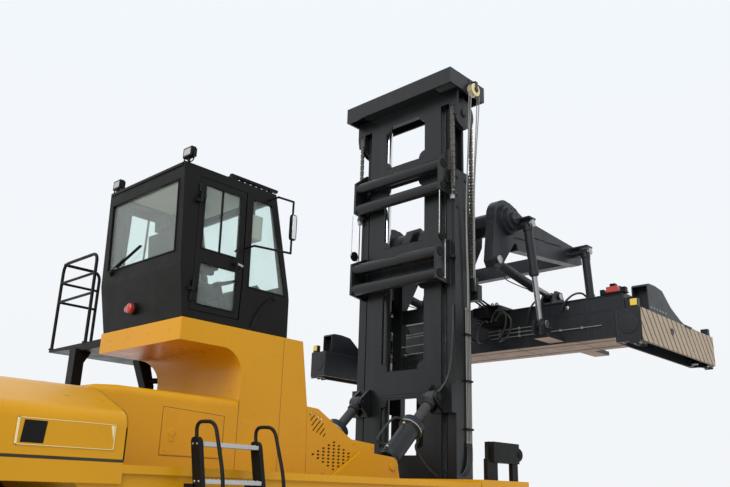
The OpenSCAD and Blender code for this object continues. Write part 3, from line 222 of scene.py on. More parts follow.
def rubber(name, colour, rough, scale=90.0, strength=0.25, dusty=0.3):
    """Tyre or hose rubber with a dry, slightly dusty skin."""
    mix = Finish(name, Specular_IOR_Level=0.35)
    cloud = mix.spread(mix.noise(3, 5), 0.45, 0.75, 0, dusty)
    mix.shade(mix.blend(cloud, colour, (0.13, 0.12, 0.105)), 14, 3, rough * 0.85, min(1, rough * 1.15))
    return mix.soft_edges(0.004, mix.noise(scale, 4), strength)


def tinted_glass(name, colour, rough=0.02):
    """Safety glass with a green body tint and a faint film of dust."""
    mix = Finish(name, Transmission_Weight=0.92, IOR=1.22)
    film = mix.spread(mix.noise(2.2, 4), 0.4, 0.8, 0, 0.35)
    mix.shade(mix.blend(film, colour, darker(colour, 0.92)), 7, 3, rough, rough * 3)
    return mix.material


def lens(name, colour, glow=0.0):
    """Moulded lamp lens with small optic ribs."""
    mix = Finish(name, Roughness=0.15, Coat_Weight=0.8)
    rib = mix.add("TexWave", Vector=mix.place, Scale=60, Distortion=0).outputs["Fac"]
    mix.put(mix.shader, Base_Color=mix.blend(mix.spread(rib, 0, 1, 0, 0.5), colour, darker(colour, 0.6)))
    if glow:
        mix.put(mix.shader, Emission_Color=(*colour, 1), Emission_Strength=glow)
    return mix.soft_edges(0.003, rib, 0.2, 0.003)


def woven(name, colour):
    """Seat cloth: a crossed weave with a little sheen."""
    mix = Finish(name, Sheen_Weight=0.3)
    threads = [mix.add("TexWave", {"bands_direction": along}, Vector=mix.place, Scale=120, Distortion=0.6,
                       Detail=1).outputs["Fac"] for along in ("X", "Z")]
    weave = mix.math("MULTIPLY", *threads)
    mix.shade(mix.blend(weave, darker(colour, 0.6), darker(colour, 1.3)), 40, 3, 0.8, 0.95)
    return mix.soft_edges(0.004, weave, 0.3)


def hazard(name, base, stripe, pitch, share):
    """Slanted warning stripes, counted along the beam and up its face."""
    mix = Finish(name)
    split = mix.add("SeparateXYZ", Vector=mix.place).outputs
    run = mix.math("ADD", split["X"], mix.math("MULTIPLY", split["Z"], 0.75))
    run = mix.math("ADD", run, mix.math("MULTIPLY", split["Y"], 0.35))
    phase = mix.math("FLOORED_MODULO", mix.math("MULTIPLY", run, 1 / pitch), 1.0)
    ragged = mix.math("ADD", phase, mix.math("MULTIPLY", mix.noise(30), 0.03))
    cloud = mix.spread(mix.noise(4, 4), 0.35, 0.75, 0, 0.35)
    ground = mix.blend(cloud, base, darker(base, 0.72))
    mix.shade(mix.blend(mix.math("LESS_THAN", ragged, share), ground, stripe), 12, 3, 0.42, 0.62)
    return mix.soft_edges(0.004, mix.noise(150, 2), 0.05)


FINISHES = {}


# Mesh building


def path_points(points, steps):
    """A smooth run through given points."""
    points = [Vector(p) for p in points]
    if steps < 2 or len(points) < 3:
        return points
    ends = [points[0] * 2 - points[1], *points, points[-1] * 2 - points[-2]]
    run = []
    for i in range(1, len(ends) - 2):
        a, b, c, d = ends[i - 1:i + 3]
        for k in range(steps):
            t = k / steps
            run.append(0.5 * ((2 * b) + (c - a) * t + (2 * a - 5 * b + 4 * c - d) * t * t
                              + (3 * b - a - 3 * c + d) * t ** 3))
    run.append(points[-1])
    return run


def eased(points, cuts, steps=6):
    """An outline whose corners are eased, each from as far away as its cut says."""
    run = []
    for i, (point, cut) in enumerate(zip(points, cuts)):
        corner = Vector(point)
        if not cut:
            run.append(tuple(corner))
            continue
        before, after = (corner + (Vector(points[j % len(points)]) - corner).normalized() * cut
                         for j in (i - 1, i + 1))
        for k in range(steps + 1):
            t = k / steps
            run.append(tuple(before * (1 - t) ** 2 + corner * 2 * t * (1 - t) + after * t * t))
    return run


def rect(u0, u1, v0, v1):
    return [(u0, v0), (u1, v0), (u1, v1), (u0, v1)]


def span(side, a, b):
    """Two lengths outwards on one side, as rising coordinates."""
    return sorted((side * a, side * b))


def on_side(y, pairs):
    """Places given by their X and Z, all at one Y."""
    return [(x, y, z) for x, z in pairs]


def circle(centre, u, v, r, count, start=0.0):
    """Places round a centre in the plane of two directions; start is a share of a step."""
    turns = (2 * math.pi * (i + start) / count for i in range(count))
    return [Vector(centre) + (u * math.cos(t) + v * math.sin(t)) * r for t in turns]


def axes(direction):
    d = Vector(direction).normalized()
    side = d.cross(Z if abs(d.z) < 0.9 else X).normalized()
    return d, side, d.cross(side)


def drilled(piece, cutters):
    """Cuts a gathered set of closed solids out of a piece."""
    tool = bpy.data.objects.new("holes", cutters.to_mesh("holes"))
    bpy.context.scene.collection.objects.link(tool)
    cut = piece.modifiers.new("Cut", "BOOLEAN")
    cut.object, cut.solver = tool, "EXACT"
    graph = bpy.context.evaluated_depsgraph_get()
    made = bpy.data.meshes.new_from_object(piece.evaluated_get(graph))
    piece.modifiers.clear()
    piece.data = made
    bpy.data.objects.remove(tool)


class Solids:
    """Gathers closed solids, given in millimetres from the drive axle, into one mesh."""

    def __init__(self):
        self.mesh = bmesh.new()

    def skin(self, rings, close_ends=True):
        made = [[self.mesh.verts.new(p) for p in ring] for ring in rings]
        for low, high in zip(made, made[1:] if close_ends else made[1:] + made[:1]):
            for i, j in zip(range(len(low)), [*range(1, len(low)), 0]):
                self.mesh.faces.new((low[i], low[j], high[j], high[i]))
        if close_ends:
            self.mesh.faces.new(made[0][::-1])
            self.mesh.faces.new(made[-1])

    def box(self, x0, x1, y0, y1, z0, z1):
        self.plate(rect(x0, x1, y0, y1), "z", z0, z1)

    def plate(self, outline, along, a, b):
        """An outline raised along an axis: (x, z) along y, (y, z) along x, (x, y) along z."""
        place = "xyz".index(along)
        self.skin([[(*p[:place], h, *p[place:]) for p in outline] for h in (a, b)])

    def slab(self, a, b, across, width, thick):
        """A flat bar from a to b, its width set along a direction."""
        a, b, across = Vector(a), Vector(b), Vector(across).normalized()
        up = (b - a).cross(across).normalized() * thick / 2
        side = across * width / 2
        self.skin([[p - side - up, p + side - up, p + side + up, p - side + up] for p in (a, b)])

    def rod(self, a, b, r, sides=16, r2=None):
        a, b = Vector(a), Vector(b)
        _, u, v = axes(b - a)
        self.skin([circle(p, u, v, q, sides) for p, q in ((a, r), (b, r if r2 is None else r2))])

    def lathe(self, centre, along, profile, sides=32, closed=False):
        """A turned form: (distance along, radius) pairs round an axis."""
        centre = Vector(centre)
        d, u, v = axes(along)
        self.skin([circle(centre + d * h, u, v, r, sides) for h, r in profile], not closed)

    def ring(self, centre, along, big, small, sides=36):
        centre = Vector(centre)
        d, u, v = axes(along)
        self.skin([circle(out, (out - centre).normalized(), d, small, 8)
                   for out in circle(centre, u, v, big, sides)], False)

    def tube(self, points, r, sides=8, steps=6):
        run = path_points(points, steps)
        _, u, _ = axes(run[1] - run[0])
        rings = []
        for i, p in enumerate(run):
            ahead = (run[min(i + 1, len(run) - 1)] - run[max(i - 1, 0)]).normalized()
            u = (u - ahead * u.dot(ahead)).normalized()
            rings.append(circle(p, u, ahead.cross(u), r, sides))
        self.skin(rings)

    def bolt(self, centre, along, size=14, height=10):
        """A hexagon head on a washer."""
        centre, d = Vector(centre), Vector(along).normalized()
        self.rod(centre - d * 2, centre + d * 2.5, size * 1.15, 14)
        self.rod(centre + d * 2, centre + d * height, size * 0.9, 6, size * 0.84)

    def bolts(self, places, along, size=14, height=10):
        for place in places:
            self.bolt(place, along, size, height)

    def rivets(self, places, along, r=8):
        for place in places:
            self.lathe(place, along, [(-1, r), (r * 0.25, r * 0.95), (r * 0.5, r * 0.6),
                                      (r * 0.55, r * 0.15)], 8)

    def both_sides(self):
        """Adds the mirror image on the other side."""
        mesh = self.mesh
        copied = bmesh.ops.duplicate(mesh, geom=mesh.verts[:] + mesh.edges[:] + mesh.faces[:])["geom"]
        for vert in (g for g in copied if isinstance(g, bmesh.types.BMVert)):
            vert.co.y = -vert.co.y
        bmesh.ops.reverse_faces(mesh, faces=[g for g in copied if isinstance(g, bmesh.types.BMFace)])
        return self

    def to_mesh(self, name):
        bmesh.ops.recalc_face_normals(self.mesh, faces=self.mesh.faces[:])
        made = bpy.data.meshes.new(name)
        self.mesh.to_mesh(made)
        self.mesh.free()
        to_frame(made)
        return made

    def done(self, name, kind, body="root", slot=None, bevel=0.0, sharp=35.0, subdivide=0):
        """Makes the piece in a finish and lets it ride on a body; its slot argument is not used."""
        made = self.to_mesh(name)
        for face in made.polygons:
            face.use_smooth = True
        made.set_sharp_from_angle(angle=math.radians(sharp))
        made.materials.append(FINISHES[kind])
        piece = bpy.data.objects.new(name, made)
        bpy.context.scene.collection.objects.link(piece)
        if bevel:
            edge = piece.modifiers.new("Edge", "BEVEL")
            edge.width, edge.segments = bevel / 1000, 2
            edge.limit_method, edge.angle_limit = "ANGLE", math.radians(40)
        if subdivide:
            rounder = piece.modifiers.new("Round", "SUBSURF")
            rounder.levels = rounder.render_levels = subdivide
        if body is not None:
            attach(piece, body)
        return piece


def gather(count):
    """Empty sets of solids, one for each piece to come."""
    return [Solids() for _ in range(count)]


# Values that a user would change


def colour(name, description, default):
    return FloatVectorProperty(name=name, description=description, subtype="COLOR", size=3, min=0, max=1,
                               default=default)


def number(name, description, default, low, high, kind=FloatProperty):
    return kind(name=name, description=description, default=default, min=low, max=high)


def angle(name, description, degrees):
    return FloatProperty(name=name, description=description, subtype="ANGLE", default=math.radians(degrees))


class TruckPaint(bpy.types.PropertyGroup):
    body: colour("Body enamel", "Colour of the body panels", (0.53, 0.25, 0.003))
    cab: colour("Cab black", "Colour of the cab and the small fittings", (0.0060, 0.0060, 0.0056))
    mast: colour("Mast charcoal", "Colour of both mast stages", (0.0080, 0.0090, 0.0100))
    spreader: colour("Spreader slate", "Colour of the arms and the spreader", (0.0125, 0.0150, 0.0180))
    glass: colour("Glass tint", "Colour of the cab's panes", (0.89, 0.985, 0.965))


class TruckHoses(bpy.types.PropertyGroup):
    hose: number("Hose radius", "Outer radius of the pressure hoses, in millimetres", 15, 8, 25)
    pipe: number("Pipe radius", "Outer radius of the steel pipes, in millimetres", 7, 5, 14)


class TruckTyres(bpy.types.PropertyGroup):
    lugs: number("Lugs", "Lugs along each shoulder of a tyre", 24, 20, 36, IntProperty)
    lug_height: number("Lug height", "Height of a lug, in millimetres", 34, 20, 45)


class TruckStage(bpy.types.PropertyGroup):
    eye: FloatVectorProperty(name="Camera place", description="Where the camera stands", subtype="XYZ",
                             unit="LENGTH", size=3, default=(-5.9065, -6.999, 1.700))
    heading: angle("Heading", "Camera's heading from +X towards +Y", 43.649)
    rise: angle("Rise", "How far the camera looks up", 17.948)
    roll: angle("Roll", "Camera's roll", 1.7613)
    lens: FloatProperty(name="Lens", description="Focal length", unit="CAMERA", default=37.78, min=10,
                        max=200)
    sky: colour("Sky", "Colour of the pale surroundings", (0.89, 0.935, 0.985))


# Operators


class TRUCK_OT_stage(bpy.types.Operator):
    """Makes the camera, the pale floor and the soft light"""

    bl_idname = "truck.stage"
    bl_label = "Stage"

    def camera(self, scene):
        stage = scene.truck_stage
        a, e, r = stage.heading, stage.rise, stage.roll
        ahead = Vector((math.cos(e) * math.cos(a), math.cos(e) * math.sin(a), math.sin(e)))
        right = Vector((math.sin(a), -math.cos(a), 0))
        up = right.cross(ahead)
        columns = (math.cos(r) * right + math.sin(r) * up, math.cos(r) * up - math.sin(r) * right, -ahead,
                   Vector(stage.eye))
        view = bpy.data.cameras.new("camera")
        view.sensor_width, view.lens, view.clip_end = 36, stage.lens, 500
        camera = bpy.data.objects.new("camera", view)
        camera.matrix_world = Matrix([[*(column[i] for column in columns)] for i in range(3)]).to_4x4()
        return camera

    def floor(self):
        ground = bpy.data.meshes.new("floor")
        ground.from_pydata([(*corner, 0) for corner in rect(-90, 90, -90, 90)], [], [(0, 1, 2, 3)])
        ground.materials.append(Finish("floor paint", Base_Color=(0.65, 0.65, 0.64, 1),
                                       Roughness=0.85).material)
        return bpy.data.objects.new("floor", ground)

    def sky(self, tint):
        world = bpy.data.worlds.new("pale sky")
        world.use_nodes = True
        mix = Mixer(world.node_tree)
        up = mix.add("SeparateXYZ", Vector=mix.add("TexCoord").outputs["Generated"]).outputs["Z"]
        mix.put(world.node_tree.nodes["Background"], Strength=1.0,
                Color=mix.blend(mix.spread(up, 0.0, 0.65), (0.90, 0.92, 0.94), tuple(tint)))
        return world

    def sun(self):
        key = bpy.data.lights.new("soft key", "SUN")
        key.energy, key.angle, key.color = 2.3, math.radians(50), (1.0, 0.985, 0.955)
        sun = bpy.data.objects.new("soft key", key)
        sun.rotation_euler = Vector((-0.80, -0.30, 0.62)).to_track_quat("Z", "Y").to_euler()
        return sun

    def execute(self, context):
        scene = context.scene
        scene.camera, floor = self.camera(scene), self.floor()
        for each in (scene.camera, floor, self.sun()):
            scene.collection.objects.link(each)
        scene.world = self.sky(scene.truck_stage.sky)
        scene.view_settings.view_transform = "Standard"
        return {"FINISHED"}


class TRUCK_OT_paint(bpy.types.Operator):
    """Mixes the finishes and gives each CAD node its own"""

    bl_idname = "truck.paint"
    bl_label = "Paint"

    def execute(self, context):
        paint = context.scene.truck_paint
        FINISHES.update({
            "amber": enamel("body enamel", tuple(paint.body), 0.30, coat=0.05, cloud=0.05, grime=0.08,
                            worn=darker(paint.body, 0.55), gloss=0.22),
            "coal": enamel("cab satin black", tuple(paint.cab), 0.40, cloud=0.08, grime=0.05, gloss=0.12),
            "mast": enamel("mast charcoal", tuple(paint.mast), 0.32, cloud=0.12, grime=0.20,
                           worn=(0.035, 0.035, 0.035), gloss=0.38),
            "slate": enamel("spreader slate", tuple(paint.spreader), 0.36, cloud=0.12, grime=0.20,
                            worn=(0.045, 0.045, 0.045), gloss=0.30),
            "cream": enamel("bare plate cream", (0.70, 0.58, 0.30), 0.45, cloud=0.05, grime=0.1),
            "tread grey": enamel("tread grey", (0.36, 0.37, 0.36), 0.55, cloud=0.1, grime=0.3),
            "iron": enamel("painted casting", (0.03, 0.03, 0.032), 0.6, cloud=0.2, grime=0.4),
            "chrome": bright_metal("hard chrome", (0.72, 0.73, 0.75), 0.10),
            "steel": bright_metal("bare steel", (0.34, 0.34, 0.35), 0.38, 0.05),
            "zinc": bright_metal("zinc plate", (0.42, 0.43, 0.42), 0.36, 0.04),
            "chain": bright_metal("oiled chain steel", (0.20, 0.185, 0.17), 0.38, 0.05),
            "tyre": rubber("tyre rubber", (0.018, 0.018, 0.019), 0.72),
            "hose": rubber("hose rubber", (0.017, 0.017, 0.018), 0.5, 200, 0.1, 0.15),
            "pale hose": rubber("pale hose sleeve", (0.19, 0.19, 0.18), 0.5, 160, 0.1, 0.2),
            "glass": tinted_glass("green safety glass", tuple(paint.glass)),
            "red lens": lens("red lens", (0.34, 0.008, 0.008), 0.1),
            "amber lens": lens("amber lens", (0.75, 0.28, 0.01), 0.1),
            "yellow lens": lens("yellow lens", (0.68, 0.46, 0.03), 0.05),
            "clear lens": lens("clear lens", (0.75, 0.78, 0.80)),
            "cloth": woven("seat cloth", (0.035, 0.036, 0.04)),
            "beige": enamel("case beige", (0.50, 0.48, 0.38), 0.5, cloud=0.05),
            "tan": enamel("underside tan", (0.26, 0.15, 0.085), 0.5, cloud=0.08),
            "umber": enamel("line umber", (0.10, 0.06, 0.035), 0.55),
            "hazard": hazard("tan and brown stripes", (0.36, 0.275, 0.185), (0.06, 0.04, 0.025), 0.155, 0.26),
        })
        for kind, names in NODE_FINISHES.items():
            for name in names.split():
                slots = NODES[name].material_slots
                if not slots:
                    NODES[name].data.materials.append(FINISHES[kind])
                for place in slots:
                    place.material = FINISHES[kind]
        return {"FINISHED"}


# The CAD nodes that stay in the render, by finish
NODE_FINISHES = {
    "coal": "cab_shell roof_guard mirror_hoop console seat door_right door_left engine",
    "iron": "drive_axle steer_axle knuckle_right knuckle_left tilt_rod_right tilt_rod_left",
    "mast": "mast_outer mast_inner carriage lift_barrels",
    "slate": "spreader_arms spreader_frame tilt_barrel_right tilt_barrel_left",
    "chrome": "lift_rods",
    "glass": "cab_glass door_right_glass door_left_glass",
    "amber": ("chassis counterweight side_tanks front_fenders pedestal "
              "drive_rims_right drive_rims_left steer_rim_right steer_rim_left"),
}

# Each tyre's body, its axle's X and the middle of each of its rows
WHEELS = {
    "drive_tyres_left": ("drive_wheel_left", 0, (1276, 1800)),
    "drive_tyres_right": ("drive_wheel_right", 0, (-1276, -1800)),
    "steer_tyre_left": ("steer_wheel_left", STEER_X, (1620,)),
    "steer_tyre_right": ("steer_wheel_right", STEER_X, (-1620,)),
}
# A tyre's half section: (distance from its middle plane, radius) pairs from the bead to the shoulder
CARCASS = ((-195, 325), (-208, 345), (-213, 388), (-226, 396), (-222, 410), (-228, 416), (-240, 470),
           (-249, 540), (-250, 606), (-246, 628), (-250, 634), (-246, 642), (-243, 690), (-230, 728),
           (-212, 762))


class TRUCK_OT_tyres(bpy.types.Operator):
    """Turns each tyre's carcass and sets its lugs"""

    bl_idname = "truck.tyres"
    bl_label = "Tyres"

    def lugs(self, solids, x, y, count, base):
        for side, i in product((0, 1), range(count)):
            t = 2 * math.pi * (i + side / 2) / count
            out, turn = Vector((math.cos(t), 0, math.sin(t))), Vector((-math.sin(t), 0, math.cos(t)))
            low, high = (-LUG_OVER, LUG_REACH) if side else (-LUG_REACH, LUG_OVER)
            rings = []
            for radius, slim in ((base - 76, 1.0), (base + 6, 1.0), (TYRE_R - 1, 0.86)):
                rings.append([Vector((x, y + run, AXLE_Z)) + out * radius
                              + turn * (s * LUG_WIDTH / 2 * slim + LUG_SKEW * abs(run) / LUG_REACH)
                              for run, s in ((low, -1), (low, 1), (high, 1), (high, -1))])
            solids.skin(rings)

    def execute(self, context):
        values = context.scene.truck_tyres
        base = TYRE_R - values.lug_height
        outline = [*CARCASS, (-175, base), (175, base), *((-h, r) for h, r in reversed(CARCASS))]
        for name, (body, x, rows) in WHEELS.items():
            solids = Solids()
            for y in rows:
                solids.lathe((x, y, AXLE_Z), Y, outline, 84, closed=True)
                self.lugs(solids, x, y, values.lugs, base)
            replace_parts(solids.done(name + "_rubber", "tyre", body, bevel=5), name)
        return {"FINISHED"}


class TRUCK_OT_wheels(bpy.types.Operator):
    """Adds lock rings, nuts, hub covers and valves to the rims"""

    bl_idname = "truck.wheels"
    bl_label = "Wheel fittings"

    def fit(self, body, out, x, mid, disc, hub, r):
        """Fits a wheel; mid, disc and hub are how far out its middle, its disc and its hub's face lie."""
        nuts, rings = gather(2)
        centre = Vector((x, 0, AXLE_Z))
        for spot in circle(centre + out * disc, X, Z, 250, 20):
            nuts.lathe(spot, out, ((-2, 25), (4, 25), (5, 21), (22, 19)), 6)
            nuts.rod(spot + out * 20, spot + out * 34, 9, 10)
        nuts.bolts(circle(centre + out * (hub + 14), X, Z, r - 28, 12, 0.5), out, 13, 12)
        rings.lathe(centre + out * hub, out, ((-30, r - 2), (-4, r + 4), (10, r + 4), (14, r - 10),
                                              (16, r - 45), (30, r - 62), (34, 40), (34, 1)), 40)
        for step, big, small in ((194, 352, 11), (182, 331, 7)):
            rings.ring(centre + out * (mid + step), out, big, small, 64)
        rings.done(f"hub_cover_{body}", "amber", body, "rim", bevel=2)
        stem = ((292, 0, 2), (297, 0, 40), (312, 14, 75))
        nuts.tube([centre + X * a + Z * b + out * (disc + c) for a, b, c in stem], 6)
        nuts.done(f"wheel_nuts_{body}", "zinc", body)

    def execute(self, context):
        for side, word in SIDES:
            self.fit(f"drive_wheel_{word}", Y * side, 0, 1800, 1830, 1970, 170)
            self.fit(f"steer_wheel_{word}", Y * side, STEER_X, 1620, 1710, 1800, 150)
        return {"FINISHED"}


SHEET = 12
OUTLET_HALF, OUTLET_Z0, OUTLET_Z1 = 760, 1950, 2330
TAIL_X = -7450
TAIL_LAMPS = {1500: ("reverse_lenses", "clear lens"), 1700: ("tail_lenses", "red lens"),
              1890: ("turn_lenses", "amber lens")}


class TRUCK_OT_hood(bpy.types.Operator):
    """Builds the hood's shell and fits its bare name plates, louvres, grille, latches and rear lamps"""

    bl_idname = "truck.hood"
    bl_label = "Hood and counterweight"

    def section(self, inset):
        """Upright sides, a small round, a long slope and a flat top, from the right foot to the left."""
        y, z, side_top = SIDE_Y - inset, HOOD_TOP - inset, HOOD_SIDE_TOP - inset * 0.6
        return eased([(-y, HOOD_FOOT), (-y, side_top), (-HOOD_FLAT_Y, z), (HOOD_FLAT_Y, z), (y, side_top),
                      (y, HOOD_FOOT)], (0, 90, 150, 150, 90, 0))

    def shell(self):
        hood = Solids()
        outer = self.section(0)
        hood.plate([*outer, *reversed(self.section(SHEET))], "x", HOOD_REAR, HOOD_FRONT)
        hood.plate(outer, "x", HOOD_FRONT - SHEET, HOOD_FRONT - 1)
        # Rear wall round the radiator's outlet: below it, above it and beside it
        wide = SIDE_Y - 4
        edge = HOOD_FLAT_Y + (HOOD_TOP - OUTLET_Z1) * (SIDE_Y - HOOD_FLAT_Y) / (HOOD_TOP - HOOD_SIDE_TOP)
        above = eased([(edge, OUTLET_Z1), (HOOD_FLAT_Y, HOOD_TOP - 3), (-HOOD_FLAT_Y, HOOD_TOP - 3),
                       (-edge, OUTLET_Z1)], (0, 150, 150, 0))
        beside = [eased([(s * OUTLET_HALF, OUTLET_Z0), (s * wide, OUTLET_Z0), (s * wide, HOOD_SIDE_TOP - 3),
                         (s * edge, OUTLET_Z1), (s * OUTLET_HALF, OUTLET_Z1)], (0, 0, 90, 0, 0))
                  for s in (1, -1)]
        for outline in (rect(-wide, wide, HOOD_FOOT, OUTLET_Z0), above, *beside):
            hood.plate(outline, "x", HOOD_REAR + 1, HOOD_REAR + SHEET)
        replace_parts(hood.done("hood_shell", "amber", sharp=40), "hood")

    def name_plates(self):
        """A bare plate a side: a pale rim, an enamel field and a dark block at its rear end."""
        x0, x1, z0, z1 = -5492, -4812, 1918, 2088
        field, rim, block = gather(3)
        field.box(x0, x1, SIDE_Y - 2, SIDE_Y + 4, z0, z1)
        for a, b, c, d in ((x0, x1, z1 - 5, z1), (x0, x1, z0, z0 + 5), (x0, x0 + 16, z0, z1),
                           (x1 - 6, x1, z0, z1)):
            rim.box(a, b, SIDE_Y + 1, SIDE_Y + 6, c, d)
        rim.plate([(x1 - 9, z1 - 9), (x1 - 36, z1 - 9), (x1 - 9, z0 + 60)], "y", SIDE_Y + 1, SIDE_Y + 5)
        block.plate([(x0 + 34, z0 + 15), (x0 + 184, z0 + 15), (x0 + 196, z1 - 15), (x0 + 46, z1 - 15)],
                    "y", SIDE_Y + 1, SIDE_Y + 6)
        field.both_sides().done("name_plates_bare", "amber", bevel=1)
        rim.both_sides().done("name_plate_rims", "cream", bevel=1)
        block.both_sides().done("name_plate_blocks", "coal", bevel=1)

    def rear_lamps(self):
        cups = Solids()
        for y in TAIL_LAMPS:
            cups.lathe((TAIL_X + 3, y, 1500), -X, ((0, 84), (26, 82), (30, 74), (22, 70)))
        cups.both_sides().done("tail_lamp_cups", "coal")
        for y, (name, kind) in TAIL_LAMPS.items():
            glass = Solids()
            glass.lathe((TAIL_X - 18, y, 1500), -X, ((0, 70), (8, 66), (14, 40), (15, 4)), 28)
            glass.both_sides().done(name, kind)

    def side_fittings(self):
        seam, small, screws, slots, lips = gather(5)
        seam.box(-7380, HOOD_FRONT, SIDE_Y - 7, SIDE_Y - 2, 1842, 1859)
        seam.both_sides().done("hood_seam_seal", "hose")
        for x in (-6900, -6100):
            small.box(x - 60, x + 60, SIDE_Y - 3, SIDE_Y + 10, 1872, 1905)
            small.bolts([(x + step, SIDE_Y + 10, 1888) for step in (-36, 36)], Y, 8, 6)
        for x in (-6700, -5900):
            small.tube([(x - 70, 1700, 2308), (x - 66, 1714, 2343), (x + 66, 1714, 2343),
                        (x + 70, 1700, 2308)], 9, 8, 4)
        small.both_sides().done("hood_latches", "coal", bevel=1)
        screws.bolts([(x, SIDE_Y, 1790) for x in range(-7280, -5600, 280)], Y, 9, 7)
        screws.bolts([(x, 1350, HOOD_TOP) for x in range(-7000, -5600, 440)], Z, 10, 7)
        screws.both_sides().done("panel_screws", "amber")
        # Louvres near the rear of each side: a dark sheet painted as the shade in each slot, under a folded
        # lip
        for x in range(-7050, -6600, 60):
            slots.box(x, x + 30, SIDE_Y - 2, SIDE_Y + 1, 2000, 2130)
            lips.plate([(x - 6, SIDE_Y - 1), (x + 4, SIDE_Y - 1), (x + 20, SIDE_Y + 11),
                        (x + 16, SIDE_Y + 13)], "z", 1996, 2134)
        # The dark boxes in the louvre slots are painted shade
        slots.both_sides().done("louvre_painted_shade", "hose")
        lips.both_sides().done("louvre_lips", "amber")

    def grille(self):
        grille, x, half = Solids(), HOOD_REAR, OUTLET_HALF + 30
        for z in range(OUTLET_Z0 + 20, OUTLET_Z1 - 10, 31):
            grille.slab((x + 8, -OUTLET_HALF, z), (x + 8, OUTLET_HALF, z), (1, 0, 0.8), 28, 5)
        for y0, y1, z0, z1 in ((-half, half, OUTLET_Z0 - 30, OUTLET_Z0),
                               (-half, half, OUTLET_Z1, OUTLET_Z1 + 26),
                               (-half, -OUTLET_HALF, OUTLET_Z0, OUTLET_Z1),
                               (OUTLET_HALF, half, OUTLET_Z0, OUTLET_Z1),
                               (-12, 12, OUTLET_Z0, OUTLET_Z1)):
            grille.box(x - 14, x + 3, y0, y1, z0, z1)
        grille.box(x + 70, x + 76, -OUTLET_HALF - 20, OUTLET_HALF + 20, OUTLET_Z0 - 20, OUTLET_Z1 + 20)
        grille.done("rear_grille", "coal", bevel=1)

    def execute(self, context):
        self.shell()
        self.name_plates()
        self.rear_lamps()
        self.side_fittings()
        self.grille()
        return {"FINISHED"}


# Heights of the front body's top along X, and the covers' outline
FRONT_BODY_TOP = ((-4719, 2408), (-4503, 2480), (-4289, 2526), (-4100, 2540), (-2791, 2540))
COVER = [(-1844, 1830), (-1868, 2560), (-1700, 2550), (-1170, 2260), (-780, 2230), (-780, 1830)]
SLOT_TURN = math.radians(46)


